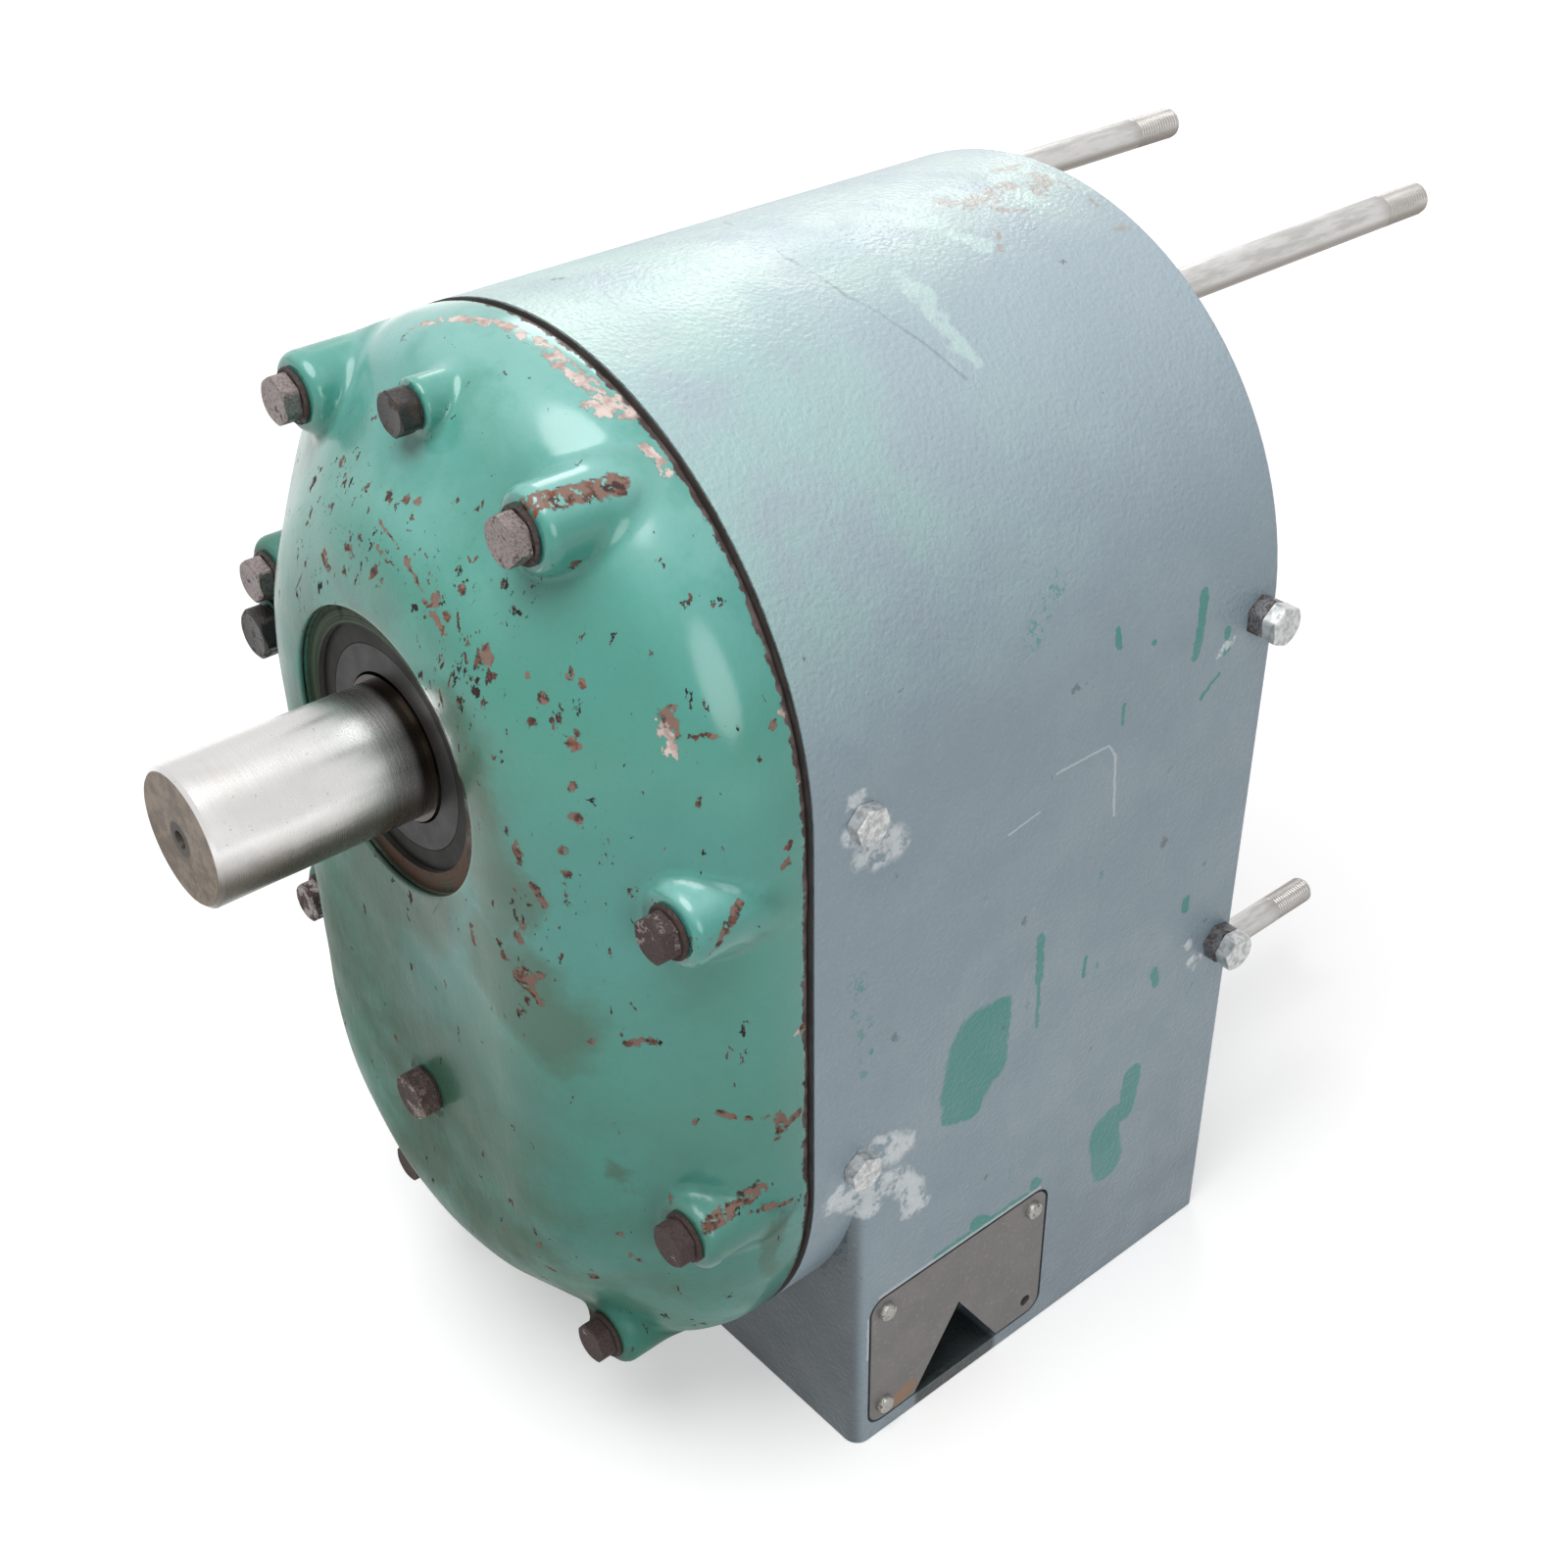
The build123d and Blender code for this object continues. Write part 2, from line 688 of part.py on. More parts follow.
with BuildPart() as rear_end_cover:
    with BuildSketch(facing_front(rear)):
        add(arch(inner_radius - seat_play, casing_wall + seat_play))
        with Locations(*tie_spots):
            Circle(column_radius + part_play, mode=Mode.SUBTRACT)
    extrude(amount=end_cover_thickness)
    with BuildSketch(facing_front(end_cover_front)):
        add(arch(inner_radius - rim_width, casing_wall + rim_width))
        with Locations(*tie_spots):
            Circle(column_radius + web_thickness, mode=Mode.SUBTRACT)
        Rectangle(hub_rib, 4 * upper_axis, mode=Mode.SUBTRACT)
        with Locations((0, lower_axis)):
            Rectangle(2 * half_width, hub_rib, mode=Mode.SUBTRACT)
    extrude(amount=web_thickness - end_cover_thickness, mode=Mode.SUBTRACT)
    with BuildSketch(facing_front(rear + end_hub_outside)):
        with Locations((0, lower_axis)):
            Circle(motor_bearing["outer"] + hub_wall)
    extrude(amount=end_hub_outside + end_cover_thickness)
    chamfer(rear_end_cover.edges().filter_by(GeomType.CIRCLE).sort_by(Axis.Y)[-1], edge_round)
    with BuildSketch(facing_front(rear)):
        with Locations((0, lower_axis)):
            Circle(motor_bearing["outer"])
    extrude(amount=end_cover_thickness, mode=Mode.SUBTRACT)
    for side in (-1, 1):
        with BuildSketch(facing_right(side * inner_radius)):
            with Locations(*[(rear_bolt_station, height) for height in side_heights]):
                Circle(rear_bolt_radius + seat_play)
        extrude(amount=-side * side_bolt_grip, mode=Mode.SUBTRACT)
finish(rear_end_cover.part, "rear_end_cover")

# ---------------------------------------------------------------- fasteners and plugs
washer_hole = bolt_radius + bolt_clearance
short_rows = [(boss_face, short_spots)]
tie_end = rear + tie_bolt_reach
for name, rows, end in (("tie_bolt", boss_rows, tie_end), ("cover_bolt", short_rows, seam + short_bolt_grip)):
    washers(f"{name}_washers", facing_front, rows, washer_hole, washer_radius, washer_thickness)
    bolts(f"{name}s", facing_front, [(face - washer_thickness, spots) for face, spots in rows], end,
          bolt_radius, head_across_flats, head_height)
with BuildPart() as rear_rods:
    with BuildSketch(facing_front(rear)):
        with Locations(*tie_spots):
            Circle(rod_radius)
    extrude(amount=-rod_length)
    rims = rear_rods.edges().filter_by(GeomType.CIRCLE).sort_by(Axis.Y)
    chamfer(rims[:len(tie_spots)], rod_front_chamfer)
    rims = rear_rods.edges().filter_by(GeomType.CIRCLE).sort_by(Axis.Y)
    chamfer(rims[-len(tie_spots):], rod_end_chamfer)
    with BuildSketch(facing_front(rear)):
        with Locations(*tie_spots):
            Circle(bolt_radius + seat_play)
    extrude(amount=-tie_bolt_reach - blind_gap, mode=Mode.SUBTRACT)
finish(rear_rods.part, "rear_rods")
plug("filler_plug", filler_spot, seam - filler_depth, filler_across_flats, filler_thread_radius)
plug("level_plug", level_spot, seam - level_depth, level_across_flats, level_thread_radius)
plug("bearing_plug", (0, lower_axis), cover_face - bearing_plug_seat, bearing_plug_across_flats,
     bearing_plug_thread_radius)

side_end = half_width - casing_wall - side_bolt_grip + blind_gap
plate_bolt_spots = [(plate_bolt_station, height) for height in side_heights]
rear_bolt_spots = [(rear_bolt_station, height) for height in side_heights]
bolts("plate_side_bolts", facing_right, [(half_width, plate_bolt_spots)], side_end, plate_bolt_radius,
      plate_bolt_flats, plate_bolt_head, both_sides=True)
bolts("rear_side_bolts", facing_right, [(half_width + rear_nut_height, rear_bolt_spots)], side_end,
      rear_bolt_radius, rear_bolt_flats, rear_bolt_head, both_sides=True)
with BuildPart() as rear_side_nuts:
    with BuildSketch(facing_right(half_width)):
        with Locations(*[(rear_bolt_station, height) for height in side_heights]):
            RegularPolygon(rear_bolt_flats / 2, 6, major_radius=False, rotation=nut_turn)
            Circle(rear_bolt_radius + seat_play, mode=Mode.SUBTRACT)
    extrude(amount=rear_nut_height)
    mirror(about=Plane.YZ)
finish(rear_side_nuts.part, "rear_side_nuts")

# ---------------------------------------------------------------- output side
shaft_rear = back_bearing_rear + ring_thickness + shaft_tail
seat_front = seal_front - seat_lead
with BuildPart() as output_shaft:
    # free end, thicker seats for the seal and the bearings, and the gear's seat
    for front, back, radius in ((seam - shaft_reach, shaft_rear, shaft_radius),
                                (seat_front, shaft_rear, seat_radius),
                                (gear_front, gear_rear, gear_seat_radius)):
        with BuildSketch(facing_front(back)):
            with Locations((0, upper_axis)):
                Circle(radius)
        extrude(amount=back - front)
    shaft_ends = output_shaft.edges().filter_by(GeomType.CIRCLE).sort_by(Axis.Y)
    chamfer([shaft_ends[0], shaft_ends[-1]], shaft_chamfer)
    with BuildSketch(facing_front(seam - shaft_reach)):
        with Locations((0, upper_axis)):
            Circle(centre_hole_radius)
    extrude(amount=-centre_hole_depth, taper=centre_hole_taper, mode=Mode.SUBTRACT)
    # keyway under the gear
    with BuildSketch(Plane.XY.offset(upper_axis + gear_seat_radius)):
        with Locations((0, (gear_front + gear_rear) / 2)):
            SlotOverall(key_length, key_width, rotation=90)
    extrude(amount=-key_depth_in_shaft, mode=Mode.SUBTRACT)
    # groove for the snap ring behind the rear bearing
    with BuildSketch(facing_front(back_bearing_rear + ring_thickness)):
        with Locations((0, upper_axis)):
            Circle(seat_radius)
            Circle(seat_radius - ring_depth, mode=Mode.SUBTRACT)
    extrude(amount=ring_thickness, mode=Mode.SUBTRACT)
finish(output_shaft.part, "output_shaft")

with BuildPart() as gear_key:
    with BuildSketch(Plane.XY.offset(upper_axis + gear_seat_radius - key_depth_in_shaft)):
        with Locations((0, (gear_front + gear_rear) / 2)):
            SlotOverall(key_length - 2 * seat_play, key_width - 2 * seat_play, rotation=90)
    extrude(amount=key_height)
finish(gear_key.part, "gear_key")

with BuildPart() as output_gear:
    with BuildSketch(facing_front(gear_rear)):
        with Locations((0, upper_axis)):
            add(involute_gear(gear_teeth, -90))
    extrude(amount=gear_width)
    # web between the rim and the hub, thinned from both faces and pierced
    for face, way in ((gear_rear, 1), (gear_front, -1)):
        with BuildSketch(facing_front(face)):
            with Locations((0, upper_axis)):
                Circle(gear_root - gear_rim)
                Circle(gear_hub_radius, mode=Mode.SUBTRACT)
        extrude(amount=way * (gear_width - gear_web) / 2, mode=Mode.SUBTRACT)
    with BuildSketch(facing_front(gear_rear)):
        with Locations((0, upper_axis)):
            with PolarLocations((gear_root - gear_rim + gear_hub_radius) / 2, web_holes):
                Circle(web_hole_radius)
    extrude(amount=gear_width, mode=Mode.SUBTRACT)
    with BuildSketch(facing_front(gear_rear)):
        with Locations((0, upper_axis)):
            Circle(gear_seat_radius + seat_play)
        with Locations((0, upper_axis)):
            Rectangle(key_width, gear_seat_radius - key_depth_in_shaft + key_height + part_play,
                      align=(Align.CENTER, Align.MIN))
    extrude(amount=gear_width, mode=Mode.SUBTRACT)
finish(output_gear.part, "output_gear")

spacer_radius = (output_bearing["bore"] + output_bearing["outer"]) / 2 - output_bearing["ball"] / 2
ring("front_spacer", seat_radius + seat_play, spacer_radius, upper_axis, front_bearing_rear, gear_front)
ring("back_spacer", seat_radius + seat_play, spacer_radius, upper_axis, gear_rear, back_bearing_front)
ring("shaft_snap_ring", seat_radius - ring_depth + seat_play, seat_radius + ring_rim, upper_axis,
     back_bearing_rear, back_bearing_rear + ring_thickness)
ring("bearing_snap_ring", output_bearing["outer"] - ring_rim,
     output_bearing["outer"] + ring_depth - seat_play, upper_axis, front_bearing_rear,
     front_bearing_rear + ring_thickness)
ball_bearing("front_output_bearing", output_bearing, upper_axis, front_bearing_front)
ball_bearing("back_output_bearing", output_bearing, upper_axis, back_bearing_front)

# shaft seal: a steel case with a rubber lip moulded inside it
with BuildPart() as shaft_seal_case:
    with BuildSketch(Plane.XY.offset(upper_axis)) as case_section:
        outer = seal_radius - seat_play
        with BuildLine():
            Polyline((outer, seal_front), (outer, seal_rear), (outer - seal_case_wall, seal_rear),
                     (outer - seal_case_wall, seal_front + seal_case_wall),
                     (outer - seal_case_lip, seal_front + seal_case_wall),
                     (outer - seal_case_lip, seal_front), close=True)
        make_face()
    revolve(axis=Axis((0, 0, upper_axis), (0, 1, 0)))
finish(shaft_seal_case.part, "shaft_seal_case")

with BuildPart() as shaft_seal_lip:
    with BuildSketch(Plane.XY.offset(upper_axis)) as lip_section:
        flange = seal_radius - seal_case_wall - part_play
        contact = seat_radius + lip_play
        front_skin = seal_front + seal_case_wall + part_play
        back_skin = front_skin + seal_rubber / 2
        case_mouth = outer - seal_case_lip - part_play
        with BuildLine():
            Polyline((flange, front_skin), (flange, back_skin), (contact + seal_rubber, back_skin),
                     (contact + seal_rubber, seal_rear - part_play),
                     (contact + lip_relief, seal_rear - part_play), (contact, seal_rear - seal_rubber / 2),
                     (contact + lip_relief, seal_front), (contact + lip_relief + lip_edge, seal_front),
                     (case_mouth, seal_front), (case_mouth, front_skin), close=True)
        make_face()
    revolve(axis=Axis((0, 0, upper_axis), (0, 1, 0)))
finish(shaft_seal_lip.part, "shaft_seal_lip")

# ---------------------------------------------------------------- motor
with BuildPart() as motor_shaft:
    with BuildSketch(facing_front(gear_rear + pinion_extra)):
        with Locations((0, lower_axis)):
            add(involute_gear(pinion_teeth, 90 + 180 / pinion_teeth))
    extrude(amount=gear_width + 2 * pinion_extra)
    for front, back, radius in ((gear_rear, back_bearing_front, pinion_collar_radius),
                                (back_bearing_front, end_bearing_rear, motor_bearing["bore"]),
                                (plate_hub_rear + part_play, end_bearing_front, rotor_seat_radius)):
        with BuildSketch(facing_front(back)):
            with Locations((0, lower_axis)):
                Circle(radius)
        extrude(amount=back - front)
finish(motor_shaft.part, "motor_shaft")

bar_circle = rotor_radius - cage_bar_inset
with BuildPart() as rotor_core:
    with BuildSketch(facing_front(core_rear)):
        with Locations((0, lower_axis)):
            Circle(rotor_radius)
            Circle(rotor_seat_radius + seat_play, mode=Mode.SUBTRACT)
            with PolarLocations(bar_circle, cage_bars):
                Circle(cage_bar_radius + seat_play, mode=Mode.SUBTRACT)
    extrude(amount=core_length)
finish(rotor_core.part, "rotor_core")

with BuildPart() as rotor_cage:
    with BuildSketch(facing_front(core_rear)):
        with Locations((0, lower_axis)):
            with PolarLocations(bar_circle, cage_bars):
                Circle(cage_bar_radius)
    extrude(amount=core_length)
    for front in (core_front - cage_ring_length, core_rear):
        with BuildSketch(facing_front(front + cage_ring_length)):
            with Locations((0, lower_axis)):
                Circle(rotor_radius - cage_ring_inset)
                Circle(cage_ring_inner, mode=Mode.SUBTRACT)
        extrude(amount=cage_ring_length)
finish(rotor_cage.part, "rotor_cage")

ball_bearing("front_motor_bearing", motor_bearing, lower_axis, back_bearing_front)
ball_bearing("rear_motor_bearing", motor_bearing, lower_axis, end_bearing_front)
motor_seal_outer = motor_bearing["outer"] - bearing_lip_height - seat_play
ring("motor_shaft_seal", motor_bearing["bore"] + lip_play, motor_seal_outer, lower_axis,
     plate_hub_rear - motor_seal_width, plate_hub_rear)
ring("bearing_preload_ring", motor_bearing["outer"] - bearing_lip_height, motor_bearing["outer"] - seat_play,
     lower_axis, end_bearing_rear, rear)

bore_radius = rotor_radius + air_gap
slot_bottom = bore_radius + tooth_tip + slot_depth
with BuildPart() as stator_core:
    with BuildSketch(facing_front(core_rear)):
        with Locations((0, lower_axis)):
            Circle(stator_radius)
            Circle(bore_radius, mode=Mode.SUBTRACT)
            with PolarLocations(slot_bottom - slot_depth / 2, slot_count):
                Rectangle(slot_depth, slot_width, mode=Mode.SUBTRACT)
            with PolarLocations(bore_radius + tooth_tip / 2, slot_count):
                Rectangle(2 * tooth_tip, slot_mouth, mode=Mode.SUBTRACT)
    extrude(amount=core_length)
finish(stator_core.part, "stator_core")

with BuildPart() as stator_windings:
    with BuildSketch(facing_front(core_rear)):
        with Locations((0, lower_axis)):
            with PolarLocations(slot_bottom - slot_depth / 2, slot_count):
                Rectangle(slot_depth - 2 * slot_liner, slot_width - 2 * slot_liner)
    extrude(amount=core_length)
    for front in (core_front - coil_overhang, core_rear):
        with BuildSketch(Plane.XY.offset(lower_axis)):
            with Locations((slot_bottom - slot_depth / 2, front + coil_overhang / 2)):
                RectangleRounded(coil_thickness, coil_overhang, coil_round)
        revolve(axis=Axis((0, 0, lower_axis), (0, 1, 0)))
finish(stator_windings.part, "stator_windings")

# ---------------------------------------------------------------- terminal chamber
with BuildPart() as terminal_plate_gasket:
    with BuildSketch(facing_right(half_width - plate_recess)):
        add(plate_outline())
        with Locations((plate_centre[0], (chamber_floor + chamber_top) / 2)):
            Rectangle(chamber_length, chamber_top - chamber_floor, mode=Mode.SUBTRACT)
        add(cable_notch(plate_margin), mode=Mode.SUBTRACT)
        with Locations(*plate_screw_spots):
            Circle(plate_screw_radius + part_play, mode=Mode.SUBTRACT)
    extrude(amount=plate_gasket)
finish(terminal_plate_gasket.part, "terminal_plate_gasket")

with BuildPart() as terminal_plate:
    with BuildSketch(facing_right(half_width - plate_sheet)):
        add(plate_outline())
        add(cable_notch(), mode=Mode.SUBTRACT)
        with Locations(*plate_screw_spots):
            Circle(plate_screw_radius + part_play, mode=Mode.SUBTRACT)
    extrude(amount=plate_sheet)
finish(terminal_plate.part, "terminal_plate")

# the screw at the lower rear corner is missing: its hole stands open
fitted_screws = [spot for spot in plate_screw_spots if spot != plate_screw_spots[2]]
with BuildPart() as terminal_plate_screws:
    with BuildSketch(facing_right(half_width)):
        with Locations(*fitted_screws):
            Circle(plate_screw_head_radius)
    extrude(amount=plate_screw_head)
    chamfer(terminal_plate_screws.edges().sort_by(Axis.X)[-len(fitted_screws):], plate_screw_head / 4)
    with BuildSketch(facing_right(half_width)):
        with Locations(*fitted_screws):
            Circle(plate_screw_radius)
    extrude(amount=-plate_screw_grip - plate_recess)
finish(terminal_plate_screws.part, "terminal_plate_screws")

block_centre = (plate_centre[0], chamber_top - part_play - block_height / 2)
stud_spots = [(block_centre[0] + column * stud_pitch, block_centre[1] + row * stud_row_pitch / 2)
              for column in (-1, 0, 1) for row in (-1, 1)]
with BuildPart() as terminal_block:
    with BuildSketch(facing_right(chamber_back)):
        with Locations(block_centre):
            Rectangle(block_length, block_height)
        with Locations(*stud_spots):
            Circle(stud_radius + seat_play, mode=Mode.SUBTRACT)
    extrude(amount=block_depth)
finish(terminal_block.part, "terminal_block")

with BuildPart() as terminal_studs:
    with BuildSketch(facing_right(chamber_back)):
        with Locations(*stud_spots):
            Circle(stud_radius)
    extrude(amount=block_depth + stud_reach)
    with BuildSketch(facing_right(chamber_back + block_depth)):
        with Locations(*stud_spots):
            RegularPolygon(stud_nut_flats / 2, 6, major_radius=False)
    extrude(amount=stud_nut_height)
finish(terminal_studs.part, "terminal_studs")
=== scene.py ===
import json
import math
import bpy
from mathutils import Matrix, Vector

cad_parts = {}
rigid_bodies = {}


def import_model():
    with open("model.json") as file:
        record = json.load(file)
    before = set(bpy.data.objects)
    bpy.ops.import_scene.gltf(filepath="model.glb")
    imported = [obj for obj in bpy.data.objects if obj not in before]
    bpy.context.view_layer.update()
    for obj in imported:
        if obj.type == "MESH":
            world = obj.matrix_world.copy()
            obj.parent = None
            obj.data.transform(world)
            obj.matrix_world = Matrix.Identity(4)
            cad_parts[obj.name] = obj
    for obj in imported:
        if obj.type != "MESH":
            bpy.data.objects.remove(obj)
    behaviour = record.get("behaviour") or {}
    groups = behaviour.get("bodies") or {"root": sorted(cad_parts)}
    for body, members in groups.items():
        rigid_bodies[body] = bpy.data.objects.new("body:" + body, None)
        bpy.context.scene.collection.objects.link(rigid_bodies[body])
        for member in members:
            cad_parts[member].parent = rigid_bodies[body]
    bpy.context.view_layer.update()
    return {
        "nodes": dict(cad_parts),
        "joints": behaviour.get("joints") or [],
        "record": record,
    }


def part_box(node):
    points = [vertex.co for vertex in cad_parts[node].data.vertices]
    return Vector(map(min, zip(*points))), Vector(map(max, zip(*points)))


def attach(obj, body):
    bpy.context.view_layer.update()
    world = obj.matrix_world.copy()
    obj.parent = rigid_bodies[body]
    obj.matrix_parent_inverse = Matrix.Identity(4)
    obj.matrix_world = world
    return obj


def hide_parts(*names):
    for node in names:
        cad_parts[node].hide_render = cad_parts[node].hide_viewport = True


bl_info = {
    "name": "Geared Motor",
    "version": (1, 0, 0),
    "blender": (4, 5, 0),
    "location": "View3D > Sidebar > Geared Motor",
    "description": "Dresses the packed geared motor: cover casting, bolts, shaft, paint and wear",
    "category": "Object",
}

import bmesh
import bpy
import numpy as np
from bpy.props import FloatProperty, FloatVectorProperty, PointerProperty
from mathutils import Matrix, Vector

for leftover in list(bpy.data.objects):
    bpy.data.objects.remove(leftover)
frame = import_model()

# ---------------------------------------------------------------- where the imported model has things
casing_low, casing_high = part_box("body_casing")
cover_low, cover_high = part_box("gear_case_cover")
joint_at = {joint["name"]: Vector(joint["pos_m"]) for joint in frame["joints"]}
UPPER, LOWER = joint_at["output_spin"].z, joint_at["rotor_spin"].z
SEAM, REAR, HALF = casing_low.y, casing_high.y, casing_high.x
COVER_BACK, COVER_FACE = cover_high.y, cover_low.y
SHAFT_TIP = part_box("output_shaft")[0].y
FRONT, BACK, RIGHT = Vector((0, -1, 0)), Vector((0, 1, 0)), Vector((1, 0, 0))
HUB_BORE, HUB_CUT = 0.0640, 0.0668
# radius and depth of each ring round the bore, from the face inwards
HUB_EDGE = ((0.0662, 0.0), (0.0650, 0.0), (0.0644, 0.00012), (0.06412, 0.0004), (0.0640, 0.0010),
            (0.0640, 0.0016))
CAMERA_AT, CAMERA_BACK = (0.65964, -0.58881, 0.86431), Vector((0.613557, -0.540767, 0.575429))
CAMERA_SHIFT, LAMP_AIM = (-0.02079, 0.01454), Vector((0, -0.05, 0.28))


def islands(node):
    """Lowest and highest corner of each loose solid in a CAD node."""
    mesh = bmesh.new()
    mesh.from_mesh(frame["nodes"][node].data)
    bmesh.ops.remove_doubles(mesh, verts=mesh.verts, dist=1e-5)
    left, found = set(mesh.verts), []
    while left:
        stack, group = [left.pop()], []
        while stack:
            vert = stack.pop()
            group.append(vert.co.copy())
            for edge in vert.link_edges:
                other = edge.other_vert(vert)
                if other in left:
                    left.discard(other)
                    stack.append(other)
        points = np.array(group)
        found.append((Vector(points.min(0)), Vector(points.max(0))))
    mesh.free()
    return sorted(found, key=lambda box: tuple(round(v, 4) for v in (*box[0], *box[1])))


def middle(low, high):
    return tuple((a + b) / 2 for a, b in zip(low, high))


def from_hub(point):
    """Distance from the output shaft's axis."""
    return math.hypot(point.x, point.z - UPPER)


# ---------------------------------------------------------------- settings
def number(name, default, about, unit="NONE"):
    return FloatProperty(name=name, description=about, default=default, min=0, unit=unit)


def colour(name, default, about):
    return FloatVectorProperty(name=name, description=about, subtype="COLOR", size=4, min=0, max=1,
                               default=(*default, 1))


def length(name, default, about):
    return FloatProperty(name=name, description=about, default=default, subtype="DISTANCE", unit="LENGTH")


class MotorPaint(bpy.types.PropertyGroup):
    enamel: colour("Enamel", (0.060, 0.262, 0.205), "Green enamel of the gear case cover")
    enamel_blue: colour("Fresh enamel", (0.062, 0.285, 0.250), "Enamel where it is clean and full")
    enamel_dull: colour("Dull enamel", (0.050, 0.096, 0.056), "Enamel dulled by oil and dust")
    primer: colour("Primer", (0.60, 0.50, 0.46), "Pale primer under the chipped enamel")
    rust: colour("Rust", (0.058, 0.036, 0.034), "Dark rust in the chips")
    rust_light: colour("Light rust", (0.155, 0.075, 0.058), "Fresh rust")
    grey: colour("Casing grey", (0.222, 0.290, 0.335), "Grey-blue paint of the casing")
    grey_pale: colour("Pale grey", (0.42, 0.50, 0.54), "Thin, chalky casing paint")
    turquoise: colour("Old green", (0.20, 0.40, 0.35), "Old green paint showing through on top")
    patch_green: colour("Patch green", (0.036, 0.225, 0.200), "Bare patches of the old green")
    bolt: colour("Bolt steel", (0.25, 0.21, 0.20), "Worn steel of the bolt heads")
    steel: colour("Bright steel", (0.70, 0.69, 0.68), "Turned steel of the shaft")
    plate: colour("Plate steel", (0.165, 0.155, 0.150), "Dull sheet of the terminal plate")
    grease: colour("Grease", (0.012, 0.010, 0.009), "Old grease round the shaft")


class MotorSizes(bpy.types.PropertyGroup):
    skin_step: length("Skin step", 0.0019, "Spacing of the cover skin's mesh")
    boss_blend: length("Boss blend", 0.006, "How far the bosses flow into the dome")
    boss_edge: length("Boss edge", 0.0056, "Rounding of the boss faces")
    rim_blend: length("Rim blend", 0.045, "Rounding between the rim wall and the slope")
    face_blend: length("Face blend", 0.070, "Rounding between the slope and the flat face")
    shoulder: length("Shoulder", 0.031, "Height at which the slope meets the rim wall")
    slope: length("Slope", 0.076, "Width of the cover's slope")
    thread_pitch: length("Thread pitch", 0.002, "Pitch of the thread at the rods' free ends")
    thread_length: length("Thread length", 0.034, "Threaded length at the rods' free ends")


class MotorStage(bpy.types.PropertyGroup):
    key_power: number("Key light", 31.0, "Power of the main soft light", "POWER")
    fill_power: number("Fill light", 13.0, "Power of the fill light", "POWER")
    back_power: number("Back light", 10.0, "Power of the light from behind", "POWER")
    sky: number("Sky", 0.25, "Strength of the even light from all round")
    floor_glow: number("Floor glow", 0.40, "White added to the near floor where it is looked at")
    lens: number("Lens", 48.72, "Camera focal length", "CAMERA")
    floor: colour("Floor", (0.76, 0.76, 0.755), "Floor and backdrop")


